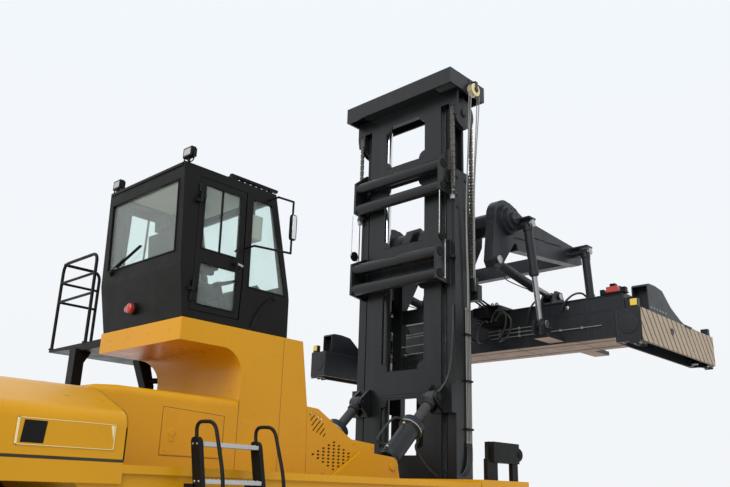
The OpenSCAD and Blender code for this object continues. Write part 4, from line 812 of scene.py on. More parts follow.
class TRUCK_OT_body(bpy.types.Operator):
    """Builds the front body and its covers, with rivets, seams, inspection doors and handles"""

    bl_idname = "truck.body"
    bl_label = "Body and pedestal"

    def front_body(self):
        """The body between the hood and the pedestal, whose top falls to the hood at its rear end."""
        body, low, cuts = Solids(), DECK_Z + 1, (0, 90, 90, 0)
        body.skin([[(x, y, z) for y, z in
                    eased([(-CORE_Y, low), (-CORE_Y, top), (CORE_Y, top), (CORE_Y, low)], cuts)]
                   for x, top in FRONT_BODY_TOP])
        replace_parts(body.done("front_body_shell", "amber", sharp=40), "front_body")

    def covers(self):
        """Sheet covers with a fan of slots and a diamond of oblong holes, with a dark sheet behind them as
        painted shade.
        """
        sheets, cutters, painted_shade_sheet = gather(3)
        sheets.plate(COVER, "y", CORE_Y - SHEET, CORE_Y)
        holes = []
        for i in range(-3, 4):
            centre, half = Vector((-1700 + 36 * i, 2382 - 35 * i)), 100 - 25 * abs(i)
            along = Vector((math.cos(SLOT_TURN), math.sin(SLOT_TURN)))
            side = Vector((-along.y, along.x))
            holes.append([tuple(centre + along * a + side * b) for a, b in rect(-half, half, -8, 8)])
        for row in range(-4, 5):
            for column in range(abs(row) - 4, 5 - abs(row)):
                x, z = -1438 + 78 * column, 2066 + 36 * row
                holes.append(eased(rect(x - 19, x + 19, z - 9, z + 9), (7, 7, 7, 7), 2))
        for outline in holes:
            cutters.plate(outline, "y", CORE_Y - 40, CORE_Y + 20)
        piece = sheets.both_sides().done("front_cover_sheets", "amber")
        drilled(piece, cutters.both_sides())
        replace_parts(piece, "front_covers")
        # Dark sheet behind the holes: painted shade for the dark inside seen through them
        painted_shade_sheet.plate([(-1840, 1880), (-1850, 2500), (-1720, 2500), (-1200, 2225), (-1000, 2205),
                      (-1000, 1880)], "y", CORE_Y - 60, CORE_Y - 56)
        painted_shade_sheet.both_sides().done("cover_painted_shade", "hose")

    def execute(self, context):
        self.front_body()
        self.covers()
        seams, rivets, doors, screws, handle = gather(5)
        doors.plate([(-3640, 2385), (-2960, 2355), (-2960, 1965), (-3640, 1965)], "y", CORE_Y - 2, CORE_Y + 5)
        doors.both_sides().done("inspection_doors", "amber", bevel=2)
        gap = [(-3646, 2392), (-2953, 2361), (-2953, 1958), (-3646, 1958)]
        for ends in (*zip(gap, gap[1:] + gap[:1]), ((-2790, 1840), (-2790, 2540)),
                     ((-2250, 1840), (-2250, 3236)), ((-4690, 1842), (-1860, 1842))):
            a, b = (Vector(p) for p in on_side(CORE_Y, ends))
            seams.slab(a, b, (b - a).cross(Y), 4, 2.4)
        seams.both_sides().done("panel_seams", "umber", slot="coal")
        rivets.rivets(on_side(CORE_Y + 4, ((-3600, 2340), (-3600, 2005), (-3000, 2320), (-3000, 2005),
                                           (-3300, 2358))), Y)
        rivets.rivets(on_side(CORE_Y, (
            (-2745, 1900), (-2745, 2110), (-2745, 2320), (-2745, 2530), (-2745, 2760), (-2600, 2420),
            (-2510, 2270), (-2510, 2170), (-2040, 1900), (-1990, 2150), (-1990, 2270), (-1990, 2380),
            (-2400, 2850), (-2100, 1890), (-2560, 1890), (-2950, 3130), (-3300, 3130))), Y)
        rivets.both_sides()
        rivets.rivets([(-3550, y, 3150) for y in (-560, 560, -180, 200)], -X, 9)
        rivets.rivets([(-2790, y, z) for y in (-600, -200, 200, 600) for z in (2640, 2780, 2920)], -X)
        rivets.done("body_rivets", "amber")
        handle.lathe((-3535, CORE_Y + 4, 2168), Y, ((0, 40), (6, 38), (8, 30), (7, 24)), 20)
        handle.box(-3556, -3514, CORE_Y + 2, CORE_Y + 10, 2085, 2168)
        handle.both_sides().done("door_pulls", "amber", bevel=3)
        screws.bolts(on_side(CORE_Y, ((-1790, 1880), (-1600, 1880), (-1350, 1880), (-1000, 1880),
                                      (-820, 1880), (-1810, 2460), (-1500, 2440), (-1130, 2215),
                                      (-820, 2190))), Y, 10, 7)
        screws.both_sides().done("cover_screws", "amber")
        return {"FINISHED"}


BELT_Z = 3760


def cab_side(side, x, z, out=0.0, tuck=20):
    """A place on the cab's side wall, which leans in above the belt and tucks in below it."""
    inwards = 35 * (z - BELT_Z) / (ROOF_Z - BELT_Z) if z > BELT_Z else tuck * (BELT_Z - z) / 510
    return Vector((x, side * (CORE_Y - inwards + out), z))


def cab_rear(y, z, out=0.0):
    """A place on the cab's rear window, whose plane runs from the roof to the belt."""
    return Vector((-3630 - 50 * (z - BELT_Z) / (ROOF_Z - BELT_Z) - out, y, z))


class TRUCK_OT_cab(bpy.types.Operator):
    """Trims the cab outside: seals, wiper, lamps, handles, hinges, cable and gutter"""

    bl_idname = "truck.cab"
    bl_label = "Cab outside"

    def seal(self, solids, corners, r=9):
        solids.tube([*corners, corners[0]], r, 6, 1)

    def rear_and_roof(self):
        black, red, face = gather(3)
        self.seal(black, [cab_rear(y, z, 2) for y, z in rect(-645, 645, 3910, 4670)], 10)
        # Wiper with its motor cap, arm and blade
        black.lathe(cab_rear(560, 3880, -4), -X, ((0, 34), (22, 32), (34, 20)), 20)
        black.slab(cab_rear(560, 3880, 36), cab_rear(250, 3985, 40), (0, 0.3, 1), 18, 8)
        black.slab(cab_rear(420, 3925, 26), cab_rear(-30, 4075, 26), (0, 0.3, 1), 16, 14)
        black.slab(cab_rear(430, 3918, 14), cab_rear(-40, 4075, 14), X, 22, 6)
        # Red lamp on the rear wall
        black.lathe((-3572, 98, 3432), -X, ((0, 64), (34, 62), (38, 50)), 28)
        red.lathe((-3606, 98, 3432), -X, ((0, 54), (34, 52), (44, 40), (48, 12)), 28)
        red.lathe((-3572, 176, 3432), -X, ((0, 36), (56, 34), (62, 20)), 22)
        # Rain gutter round the roof
        for side in (-1, 1):
            black.box(-3670, -2480, side * 722 - 6, side * 722 + 14, ROOF_Z - 34, ROOF_Z - 8)
        black.box(-3690, -3672, -700, 700, ROOF_Z - 40, ROOF_Z - 12)
        # Work lamps on the rear roof corners, each with a hoop and ribs on its case
        for y in (-700, 700):
            black.rod((-3620, y, ROOF_Z), (-3620, y, ROOF_Z + 64), 15)
            black.box(-3650, -3594, y - 74, y + 74, ROOF_Z + 62, ROOF_Z + 168)
            black.tube([(-3620, y + step, ROOF_Z + up)
                        for step, up in ((-82, 110), (-82, 20), (0, 8), (82, 20), (82, 110))], 7, 6, 3)
            for step in range(-62, 78, 28):
                black.box(-3590, -3574, y + step, y + step + 8, ROOF_Z + 68, ROOF_Z + 162)
            face.box(-3653, -3648, y - 56, y + 56, ROOF_Z + 80, ROOF_Z + 152)
        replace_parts(black.done("cab_trim", "coal", bevel=2), "cab_lamps")
        red.done("cab_red_lamp", "red lens")
        face.done("work_lamp_lenses", "tread grey", slot="lamp", bevel=2)

    def door(self, side, word):
        """Seals, divided upper pane, hinges, grab bar, lock and handle."""
        trim, bright = gather(2)

        def wall(x, z, out=0.0):
            return cab_side(side, x, z, out)

        for z0, z1 in ((3974, 4666), (3404, 3826)):
            self.seal(trim, [wall(x, z, 1) for x, z in rect(-3407, -2943, z0, z1)])
        trim.slab(wall(-3175, 3980, -18), wall(-3175, 4660, -18), X, 22, 14)
        trim.slab(wall(-3400, 4668, -10), wall(-2950, 4668, -10), Z, 16, 24)
        for z in (3420, 4560):
            trim.rod(wall(-3476, z, 10), wall(-3476, z + 90, 10), 14, 12)
            trim.slab(wall(-3470, z + 45, 4), wall(-3400, z + 45, 4), Z, 70, 10)
        grab = ((3720, 0), (3724, 46), (3880, 52), (4036, 46), (4040, 0))
        trim.tube([wall(-2990, z, out) for z, out in grab], 10, 8, 4)
        trim.lathe(wall(-2925, 3882, -2), Y * side, ((0, 28), (14, 27), (20, 18)), 18)
        bright.slab(wall(-2995, 3904, 40), wall(-2900, 3890, 34), Z, 22, 10)
        trim.done(f"door_trim_{word}", "coal", f"door_{word}", bevel=1.5)
        bright.done(f"door_handle_{word}", "zinc", f"door_{word}", "chrome", bevel=2)

    def execute(self, context):
        self.rear_and_roof()
        for side, word in SIDES:
            self.door(side, word)
        # Quarter glass seals, cable at the right quarter panel, and the mirror
        sides, glass = gather(2)
        pane = ((-2790, 4690), (-2790, 3700), (-2285, 3700), (-2520, 4690))
        for side in (1, -1):
            corners = [cab_side(side, x, z, 1, tuck=0) for x, z in pane]
            for a, b in zip(corners, corners[1:] + corners[:1]):
                sides.rod(a, b, 8, 8)
        sides.tube([(-2440, -766, 3640), (-2520, -775, 3600), (-2620, -776, 3480), (-2680, -772, 3360),
                    (-2700, -768, 3290)], 9, 8, 5)
        sides.lathe((-2430, -768, 3645), (0.4, -1, 0), ((-6, 24), (10, 22), (14, 12)), 14)
        sides.plate([(-2380, 4300), (-2318, 4300), (-2308, 4330), (-2308, 4560), (-2318, 4590), (-2380, 4590),
                     (-2390, 4560), (-2390, 4330)], "y", -925, -890)
        sides.done("cab_side_trim", "coal", bevel=2)
        glass.plate(rect(-2374, -2322, 4312, 4578), "y", -929, -924)
        glass.done("mirror_glass", "chrome", slot="glass", bevel=1)
        return {"FINISHED"}


class TRUCK_OT_cab_inside(bpy.types.Operator):
    """Furnishes the cab with a padded seat, levers, pedals, a dashboard hood with its hoop, displays and a
    roof liner
    """

    bl_idname = "truck.cab_inside"
    bl_label = "Cab inside"

    def cushion(self, name, place, thick, drop, crown, seams):
        """A crowned pad with sewn channels; place gives the point for two spans (-1 to 1) and a rise."""
        solids, cells, verts = Solids(), 14, {}
        for i, j in product(range(cells + 1), repeat=2):
            u, v = 2 * i / cells - 1, 2 * j / cells - 1
            pull = 1 - 0.06 * (u * v) ** 2 - 0.03 * (1 - u * u) * (v * v) - 0.03 * (1 - v * v) * u * u
            sewn = 10 * sum(math.exp(-((v - s) / 0.05) ** 2) for s in seams)
            top = -drop if {i, j} & {0, cells} else (crown - sewn) * (1 - u ** 4) * (1 - v ** 4)
            for face, rise in enumerate((-thick, top)):
                verts[i, j, face] = solids.mesh.verts.new(place(u * pull, v * pull, rise))
        for face, i, j in product((0, 1), range(cells), range(cells)):
            loop = [verts[i, j, face], verts[i + 1, j, face], verts[i + 1, j + 1, face],
                    verts[i, j + 1, face]]
            solids.mesh.faces.new(loop if face else loop[::-1])
        edge = ([(i, 0) for i in range(cells)] + [(cells, j) for j in range(cells)]
                + [(i, cells) for i in range(cells, 0, -1)] + [(0, j) for j in range(cells, 0, -1)])
        for a, b in zip(edge, edge[1:] + edge[:1]):
            solids.mesh.faces.new((verts[*a, 0], verts[*b, 0], verts[*b, 1], verts[*a, 1]))
        solids.done(name, "cloth", subdivide=2, sharp=180)

    def seat(self, x, floor):
        def leaning(front, foot, slope, half, middle, reach):
            """A pad that leans back from a foot's height up, by where its front, width and height lie."""
            def place(u, v, rise):
                z = middle + reach * v
                return (x + front - (z - foot) * slope + rise, half * u, floor + z)
            return place

        self.cushion("seat_cushion", lambda u, v, rise: (x + 15 + 247 * v, 246 * u, floor + 500 + rise),
                     48, 22, 26, (-0.45, 0.1, 0.62))
        self.cushion("seat_back", leaning(-132, 390, 75 / 600, 232, 752.5, 232.5), 46, 20, 24,
                     (-0.5, 0.0, 0.5))
        self.cushion("seat_headrest", leaning(-228, 1020, 25 / 160, 124, 1100, 72), 40, 20, 18, ())

    def execute(self, context):
        x, floor = -3080, FLOOR_Z + 50
        self.seat(x, floor)
        hard, grey, screen = gather(3)
        # Lever block and joysticks at the right armrest, pedals, dashboard hood and its hoop
        hard.box(x - 10, x + 190, -345, -255, floor + 628, floor + 660)
        for k in (x + 40, x + 90, x + 140):
            hard.rod((k, -300, floor + 655), (k + 6, -300, floor + 740), 7, 10)
            hard.lathe((k + 6, -300, floor + 735), Z, ((0, 8), (14, 16), (30, 17), (42, 6)), 14)
        for y in (-160, 150, 240):
            hard.slab((-2520, y, floor + 30), (-2440, y, floor + 130), Y, 90, 12)
        hard.plate([(-2430, floor + 400), (-2250, floor + 400), (-2252, floor + 440), (-2400, floor + 560),
                    (-2440, floor + 520)], "y", -415, 415)
        hard.tube([(-2650, -190, floor + 565), (-2655, 0, floor + 600), (-2650, 190, floor + 565)], 9, 8, 5)
        hard.done("cab_controls", "coal", bevel=4)
        grey.box(-2700, -2552, -628, -412, 4292, 4568)
        grey.box(-3470, -2600, -600, 600, ROOF_Z - 72, ROOF_Z - 52)
        grey.done("monitor_case", "beige", slot="coal", bevel=8)
        screen.box(-2706, -2698, -600, -440, 4320, 4540)
        screen.box(-2712, -2704, -606, -434, 4314, 4322)
        screen.plate([(-2424, floor + 545), (-2418, floor + 553), (-2300, floor + 470), (-2306, floor + 462)],
                     "y", -190, 190)
        screen.done("cab_displays", "hose", slot="lamp", bevel=1)
        return {"FINISHED"}


# The ladders' treads, and how far out a leaning stringer stands at a height
TREADS = range(2010, 510, -262)


def stringer_y(z):
    return SIDE_Y + 30 + (2050 - z) * 0.24


class TRUCK_OT_access(bpy.types.Operator):
    """Makes the platform, railing and ladders, with grating, deck studs and lamp stands"""

    bl_idname = "truck.access"
    bl_label = "Platform and ladders"

    def platform(self):
        """A deck, thin at its outer edge, on two legs under brackets, stayed to the pedestal."""
        grate, deck = gather(2)
        for i in range(36):
            x = -3530 + i * 37.2
            grate.slab((x, 790, 3192), (x, 1985, 3192), Z, 14, 4)
        for y in range(800, 2000, 117):
            grate.rod((-3535, y, 3196), (-2215, y, 3196), 3.5, 6)
        grate.done("platform_grating", "zinc", slot="coal")
        deck.plate([(780, 3200), (2000, 3200), (2000, 3166), (1480, 3152), (1400, 3112), (780, 3112)],
                   "x", -3550, -2200)
        for outline in ([(-3590, 3140), (-3380, 3140), (-3470, 2990), (-3470, 1831), (-3590, 1831)],
                        [(-2800, 3140), (-2640, 3140), (-2545, 2830), (-2545, 1831), (-2665, 1831),
                         (-2665, 2815)]):
            deck.plate(outline, "y", 1240, 1380)
        for x in (-3530, -2605):
            deck.box(x - 110, x + 110, 1190, 1430, 1831, 1846)
        deck.rod((-2600, 1250, 2890), (-2330, 770, 2890), 34)
        deck.rod((-2336, 782, 2890), (-2330, 768, 2890), 60, 20)
        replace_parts(deck.done("platform_frame", "coal", bevel=4), "platform")

    def railing(self):
        rail, x, y, low, high = Solids(), -3528, 1980, 3203, 4258
        for points in ([(x, 1160, low), (x, 1160, high + 2), (x, y, high + 2), (x, y, low)],
                       [(x, y, high), (-3050, y, high), (-3050, y, low)],
                       [(-2250, y, low), (-2250, y, high), (-2800, y, high), (-2800, y, low)]):
            rail.tube(eased(points, (0, *(110,) * (len(points) - 2), 0)), 19, 12, 1)
        for z in (3782, 4020):
            rail.rod((x, 1160, z), (x, y, z), 16, 12)
            rail.rod((x, y, z), (-3050, y, z), 16, 12)
        for foot in ((x, 1160, low), (x, y, low), (-3050, y, low), (-2250, y, low), (-2800, y, low)):
            rail.lathe(foot, Z, ((-2, 38), (8, 37), (12, 24), (20, 20)), 16)
        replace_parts(rail.done("railing_tubes", "coal"), "railing")

    def ladders(self):
        """Leaning flat stringers, hoops as handrails and two-rib treads with studs."""
        sides, treads, studs, bolts = gather(4)
        low, high = stringer_y(480), stringer_y(2050)
        for x in (-4220, -3664):
            m = x + 17
            sides.plate(eased([(low, 480), (low + 110, 480), (high + 110, 2050), (high, 2050)],
                              (0, 0, 50, 50)), "x", x, x + 34)
            sides.box(x, x + 34, SIDE_Y + 0.5, stringer_y(1705) + 30, 1690, 1720)
            sides.tube(eased([(m, stringer_y(1990) + 50, 1990), (m, stringer_y(2160) + 62, 2160),
                              (m, stringer_y(2150) + 290, 2150), (m, 2486, 1790), (m, 2520, 1560),
                              (m, stringer_y(1400) + 60, 1400)], (0, 80, 80, 90, 60, 0)), 14, 12, 1)
        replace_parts(sides.both_sides().done("ladder_stringers", "coal", bevel=2), "ladders")
        for z in TREADS:
            y = stringer_y(z)
            treads.plate(rect(y + 3, y + 107, z - 28, z + 3), "x", -4186, -3664)
            for k, step in product(range(14), (30, 80)):
                studs.lathe((-4160 + k * 36.5, y + step, z + 3), Z, ((-1, 9), (4, 8), (5, 5)), 8)
            for x, d in ((-4220, -1), (-3630, 1)):
                bolts.bolts([(x, y + step, z - 12) for step in (29, 81)], X * d, 8, 7)
        treads.both_sides().done("ladder_treads", "tread grey", bevel=2)
        studs.both_sides().done("ladder_tread_studs", "tread grey")
        bolts.both_sides().done("ladder_bolts", "zinc")

    def lamp_stands(self):
        """Plate posts on the front fenders, a long case and a round lamp at its front."""
        cups, lamps = gather(2)
        cups.box(-96, 424, 1836, 1964, 2056, 2282)
        for x0, x1 in ((-176, 30), (330, 446)):
            cups.box(x0, x1, 1874, 1926, 1861, 2092)
        cups.rod((-150, 1900, 2090), (-150, 1900, 2243), 22)
        cups.lathe((450, 1900, 2160), X, ((-46, 78), (4, 86), (16, 86), (18, 74), (8, 70)))
        lamps.lathe((456, 1900, 2160), X, ((0, 72), (8, 66), (14, 40), (16, 4)))
        cups.bolts([(x, 1850, 2282) for x in (-40, 120, 280)], Z, 9, 8)
        cups.both_sides().done("lamp_stands", "coal", bevel=2)
        lamps.both_sides().done("headlamp_lenses", "clear lens")

    def execute(self, context):
        self.platform()
        self.railing()
        self.ladders()
        deck = Solids()
        for i, j in product(range(30), range(12)):
            x, y = -4640 + i * 95 + (j % 2) * 47, 820 + j * 100
            if -4300 < x < -600:
                deck.lathe((x, y, DECK_Z), Z, ((-1, 15), (3, 14), (4, 8)), 6)
        deck.both_sides().done("deck_grip_studs", "amber")
        self.lamp_stands()
        return {"FINISHED"}


class TRUCK_OT_chassis(bpy.types.Operator):
    """Runs brake hoses and steering hoses under the truck and bolts the axles"""

    bl_idname = "truck.chassis"
    bl_label = "Chassis and axles"

    def execute(self, context):
        hose = context.scene.truck_hoses.hose
        hoses, bolts, grease = gather(3)
        for y in (610, 590):
            hoses.tube([(-4200, y - 6, y + 910), (-2400, y - 6, y + 890), (-500, y - 6, y + 710),
                        (-240, y - 20, 1120), (-150, y - 60, 1050)], hose * 0.7)
        hoses.both_sides()
        for side in (1, -1):
            hoses.tube([(x, side * y, z) for x, y, z in
                        ((-5350, 60, 1300), (-5480, 80, 1240), (-5560, 240, 1100), (-5590, 420, 1010))], hose)
        hoses.done("chassis_hoses", "hose")
        bolts.bolts([(x, y, 824) for x in (-200, -100, 100, 200) for y in (665, 745)], -Z, 20, 20)
        bolts.bolt((0, 1890, AXLE_Z), Y, 12, 8)
        bolts.both_sides().done("axle_bolts", "zinc")
        for side, (z, d) in product((1, -1), ((1074, 1), (556, -1))):
            grease.lathe((STEER_X, side * 1120, z), Z * d, ((-4, 60), (6, 58), (10, 44), (11, 8)), 24)
            grease.lathe((STEER_X, side * 1120, z + 10 * d), Z * d, ((0, 7), (10, 7), (14, 4)), 8)
        grease.done("kingpin_caps", "iron")
        return {"FINISHED"}


TILT_PIN, TILT_EYE = Vector((-510, 0, 1990)), Vector((435, 0, 2900))


class TRUCK_OT_tilt_cylinders(bpy.types.Operator):
    """Dresses the tilt cylinders with heads, pins and their hose loops"""

    bl_idname = "truck.tilt_cylinders"
    bl_label = "Tilt cylinders"

    def dress(self, side, word, hose):
        head, bright, loop, supply, rod, caps = gather(6)
        barrel, out = f"tilt_barrel_{word}", Y * side
        pin, eye = TILT_PIN + out * 670, TILT_EYE + out * 670
        along = (eye - pin).normalized()
        up = Vector((-along.z, 0, along.x))
        head.lathe(pin + along * 690, along, ((0, 152), (4, 158), (84, 158), (92, 150), (94, 110), (118, 106),
                                              (122, 74)), 40)
        head.bolts(circle(pin + along * 784, up, Y, 130, 12), along, 9, 9)
        head.lathe(pin + along * 150, along, ((0, 128), (6, 132), (24, 132), (30, 127)), 36)
        head.done(f"tilt_head_{word}", "slate", barrel, bevel=2)
        bright.lathe(pin + along * 688, along, ((-16, 127), (-14, 161), (0, 161), (2, 150)), 40)
        for step in (640, 210):
            bright.lathe(pin + along * step + up * 120, up, ELBOW, 12)
        bright.done(f"tilt_fittings_{word}", "zinc", barrel)
        a, b = pin + along * 640 + up * 160, pin + along * 210 + up * 160
        loop.tube([a, a + up * 70 - along * 30, a + up * 150 - along * 150, b + up * 150 - along * 60,
                   b + up * 60 - along * 60, b + up * 4], hose, 8, 7)
        loop.done(f"tilt_hose_{word}", "hose", barrel)
        start, end = pin + along * 700 - up * 140, (330, side * 748, 1960)
        supply.tube([start, start - up * 60, (60, side * 700, 2230), (200, side * 730, 2050), end,
                     (420, side * 752, 1905)], hose, 8, 7)
        loose = supply.done(f"tilt_supply_{word}", "hose", None)
        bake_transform(loose)
        rod.lathe(eye, out, ((58, 46), (62, 88), (66, 60), (70, 44)), 28)
        rod.lathe(eye, -along, ((92, 60), (96, 84), (170, 84), (176, 66)))
        rod.done(f"tilt_eye_{word}", "slate", f"tilt_rod_{word}", bevel=2)
        for s in (1, -1):
            spot = pin + Y * s * 128
            caps.lathe(spot, Y * s, ((-8, 52), (6, 50), (10, 40)), 24)
            caps.bolt(spot + Y * s * 9, Y * s, 14, 9)
        caps.done(f"tilt_pin_caps_{word}", "steel")

    def execute(self, context):
        for side, word in SIDES:
            self.dress(side, word, context.scene.truck_hoses.hose)
        return {"FINISHED"}


# The chain anchors' X, the lower tie's pulleys and the pipes on the right post
ANCHOR_X = MAST_X - 50
PIPES, PIPE_Y = (836, 868, 900, 932), -POST_OUT - 20
PULLEY_X, PULLEY_Z = MAST_X - 215, 5110


class TRUCK_OT_outer_mast(bpy.types.Operator):
    """Adds pipes, clamps, chain anchors, pulleys and pins to the outer mast"""

    bl_idname = "truck.outer_mast"
    bl_label = "Outer mast"

    def lines(self, pipe, hose):
        """Four pipes up the right post under clamps, and a hose to the tilt cylinder's eye."""
        pipes, clamps, side_hose = gather(3)
        for x, top in zip(PIPES, (4134, 4146, 4134, 4146)):
            pipes.tube([(x, PIPE_Y, z) for z in (2340, 3000, top)], pipe, 10, 1)
            for z in (4110, 2330):
                pipes.lathe((x, PIPE_Y, z), Z, ((0, pipe + 1), (2, pipe + 5), (34, pipe + 5), (36, pipe)), 6)
        pipes.done("mast_pipes", "pale hose", "mast", "steel")
        for z in (2516, 3145, 3774):
            clamps.box(812, 952, -POST_OUT - 40, -POST_OUT + 2, z - 14, z + 14)
            clamps.bolts([(x, -POST_OUT - 40, z) for x in (824, 944)], -Y, 10, 14)
        clamps.done("pipe_clamps", "coal", "mast", "mast", bevel=2)
        side_hose.tube([(620, -870, 4150), (600, -880, 3800), (560, -868, 3350), (500, -840, 3120),
                        (440, -800, 3010), (400, -778, 2960)], hose * 0.9, 8, 7)
        side_hose.done("mast_side_hose", "hose", "mast")

    def anchors_and_pins(self):
        pins, nuts = gather(2)
        for side in (1, -1):
            y, out, tie = side * POST_OUT, Y * side, side * 845
            # Chain anchor: nut under its bracket, rod down to a cap
            nuts.lathe((ANCHOR_X, y, 5738), -Z, ((0, 44), (8, 46), (10, 36), (58, 34), (60, 24)), 6)
            nuts.lathe((ANCHOR_X, y, 5800), Z, ((0, 40), (10, 40), (14, 30)), 6)
            pins.rod((ANCHOR_X, y, 5690), (ANCHOR_X, y, 4840), 8, 8)
            pins.lathe((ANCHOR_X, y, 4800), Z, ((0, 10), (2, 42), (16, 44), (40, 40), (44, 12)), 20)
            pins.box(ANCHOR_X - 20, MAST_X + 4, *span(side, POST_OUT - 40, POST_OUT), 4800, 4836)
            # Dark pins through the upper tie's brackets and the pulleys on the lower tie
            pins.lathe((MAST_X - 110, side * 840, 5970), out, ((-4, 62), (12, 60), (16, 46), (26, 44)), 24)
            for z in (6205, 5865):
                pins.lathe((MAST_X - 180, side * 840, z), out, PIN_CAP, 28)
            pins.lathe((PULLEY_X, side * 818, PULLEY_Z), out,
                       ((0, 40), (10, 74), (18, 74), (24, 60), (30, 74), (38, 74), (46, 40)), 28)
            pins.lathe((PULLEY_X, side * 858, PULLEY_Z), out, ((0, 30), (14, 28), (16, 12)), 16)
            nuts.rod((PULLEY_X + 66, tie, PULLEY_Z), (PULLEY_X + 66, tie, 4500), 6, 8)
            nuts.rod((PULLEY_X - 66, tie, PULLEY_Z), (PULLEY_X - 60, tie, 5760), 6, 8)
            for z in (4875, 4565):
                pins.lathe((MAST_X - 230, side * 818, z), out, PIN_CAP, 28)
            # Foot pin plates and bolts
            pins.lathe((455, side * 915, 620), out, ((-12, 74), (6, 72), (10, 54)), 30)
            pins.bolts(circle((455, side * 922, 620), X, Z, 50, 6), out, 9, 8)
        pins.done("mast_pins_and_pulleys", "coal", "mast", "mast", bevel=1)
        nuts.done("chain_anchor_nuts", "zinc", "mast")

    def execute(self, context):
        values = context.scene.truck_hoses
        self.lines(values.pipe, values.hose)
        self.anchors_and_pins()
        # Welds where the ties and the lugs meet the posts, and roller adjusters on the posts
        welds, adjusters, tails = gather(3)
        for z0, z1, edges in ((5790, 6490, (842, 802)), (4480, 5100, (820, 780))):
            for y in edges:
                welds.tube([(MAST_X - 1, y, z0 - 34), (MAST_X - 2, y, (z0 + z1) / 2),
                            (MAST_X - 1, y, z1 - 6)], 7, 6)
        for z in range(900, 6100, 520):
            welds.tube([(MAST_X + 8, POST_OUT - 1, z), (MAST_X + 8, POST_OUT - 1, z + 160)], 4, 6, 1)
        welds.both_sides().done("mast_welds", "mast", "mast")
        for z, x in product((1500, 5600, 6050), (700, 900)):
            adjusters.lathe((x, POST_OUT, z), Y, ((-2, 34), (8, 32), (10, 16), (18, 15)), 18)
        adjusters.both_sides().done("wear_pad_screws", "mast", "mast")
        # The pipes' hose tails, down behind the post
        for x in PIPES:
            tails.tube([(x, PIPE_Y, 2340), (x - 4, PIPE_Y - 6, 2200), (x - 30, PIPE_Y - 14, 2060),
                        (x - 90, PIPE_Y + 4, 1960), (x - 170, -850, 1880)], values.hose * 0.8)
        tails.done("pipe_tails", "hose", "mast")
        return {"FINISHED"}


# The chain wheels on the crosshead, the radius their chains run at, and the pitch of a link
WHEEL_X, WHEEL_Z, CHAIN_R, PITCH = 810, 7100, 223, 50


class TRUCK_OT_chains(bpy.types.Operator):
    """Builds the leaf chains link by link and the hoses that run over the crosshead"""

    bl_idname = "truck.chains"
    bl_label = "Chains and mast hoses"

    def leaf_chain(self, name, node_name, path):
        """Links along a path of (x, z) points: plates in two turns and a pin at each joint."""
        run, spots, left = [Vector(p) for p in on_side(0, path)], [], 0.0
        for a, b in zip(run, run[1:]):
            length = (b - a).length
            while left <= length:
                spots.append(a + (b - a) * left / length)
                left += PITCH
            left -= length
        links = Solids()
        for y, (k, (a, b)) in product((POST_OUT, -POST_OUT), enumerate(zip(spots, spots[1:]))):
            d = (b - a).normalized()
            across = Vector((-d.z, 0, d.x)) * (19 if k % 2 else 18)
            half = ((a - d * 15, 0.55), (a - d * 2, 1), ((a + b) / 2, 0.72), (b + d * 2, 1),
                    (b + d * 15, 0.55))
            near, far = ([p + across * share * s for p, share in half] for s in (-1, 1))
            for shift in ((-25, -8, 9, 22) if k % 2 else (-17, 0, 15)):
                links.skin([[p + Y * (y + shift + thick) for p in (near[0], *far, *near[:0:-1])]
                            for thick in (-3, 3)])
            links.rod(a + Y * (y - 33), a + Y * (y + 33), 9, 8)
        piece = links.done(name, "chain", None, "steel")
        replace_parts(piece, node_name)
        return piece

    def sheave(self, centre):
        """A cream sheave on the crosshead's right end, in its bracket."""
        sheave, hub = gather(2)
        sheave.lathe(centre, Y, ((-44, 60), (-42, 100), (-34, 102), (-28, 88), (28, 88), (34, 102), (42, 100),
                                 (44, 60)), 40)
        sheave.done("hose_sheave", "cream", "inner_mast", bevel=2)
        hub.lathe(centre, -Y, ((-60, 34), (46, 34), (48, 46), (58, 44), (60, 20)), 24)
        hub.box(800, 920, -1060, -1046, 7400, 7640)
        hub.box(820, 900, -1150, -1050, 7560, 7580)
        hub.box(835, 885, -1156, -1144, 7420, 7580)
        hub.done("sheave_bracket", "mast", "inner_mast", bevel=2)

    def execute(self, context):
        turn = [(CHAIN_R * math.cos(t), WHEEL_Z + CHAIN_R * math.sin(t))
                for t in (math.pi - math.pi / 20 * i for i in range(11))]
        back, ahead = WHEEL_X - CHAIN_R, WHEEL_X + CHAIN_R
        rear = [(back, 5885), (back, WHEEL_Z), *((WHEEL_X + x, z) for x, z in turn)]
        front = [(ahead, 4625), (ahead, WHEEL_Z), *((WHEEL_X - x, z) for x, z in turn)]
        piece = self.leaf_chain("leaf_chains_rear", "chains_rear", rear)
        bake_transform(piece)
        piece = self.leaf_chain("leaf_chains_front", "chains_front", front)
        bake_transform(piece)

        # Pale hoses: up the post, over the sheave, down to the carriage
        centre = Vector((860, -1098, 7452))
        self.sheave(centre)
        up, down = gather(2)
        for k, y in enumerate((-1116, -1080)):
            arc = circle((centre.x, y, centre.z), X, Z, 99, 16)[8::-1]
            up.tube([(848 + 22 * k, -948, 4130), (842 + 22 * k, -956, 4500), (806 + 10 * k, -972, 5600),
                     (775, (y - 980) / 2 - 20, 6700), (762, y, 7250), *arc[:5]], 8, 8, 4)
            down.tube([*arc[4:], (960, y, 7200), (972, -1010 + 14 * k, 6000), (985, -985 + 20 * k, 5000),
                       (1010, -965 + 24 * k, 4560), (1040, -940 + 24 * k, 4420)], 8, 8, 4)
        for solids, name, body, x, z in ((up, "mast_hoses_up", "mast", 760, 4200),
                                         (down, "mast_hoses_down", "carriage", 960, 4500)):
            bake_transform(solids.done(name, "pale hose", None))
        return {"FINISHED"}


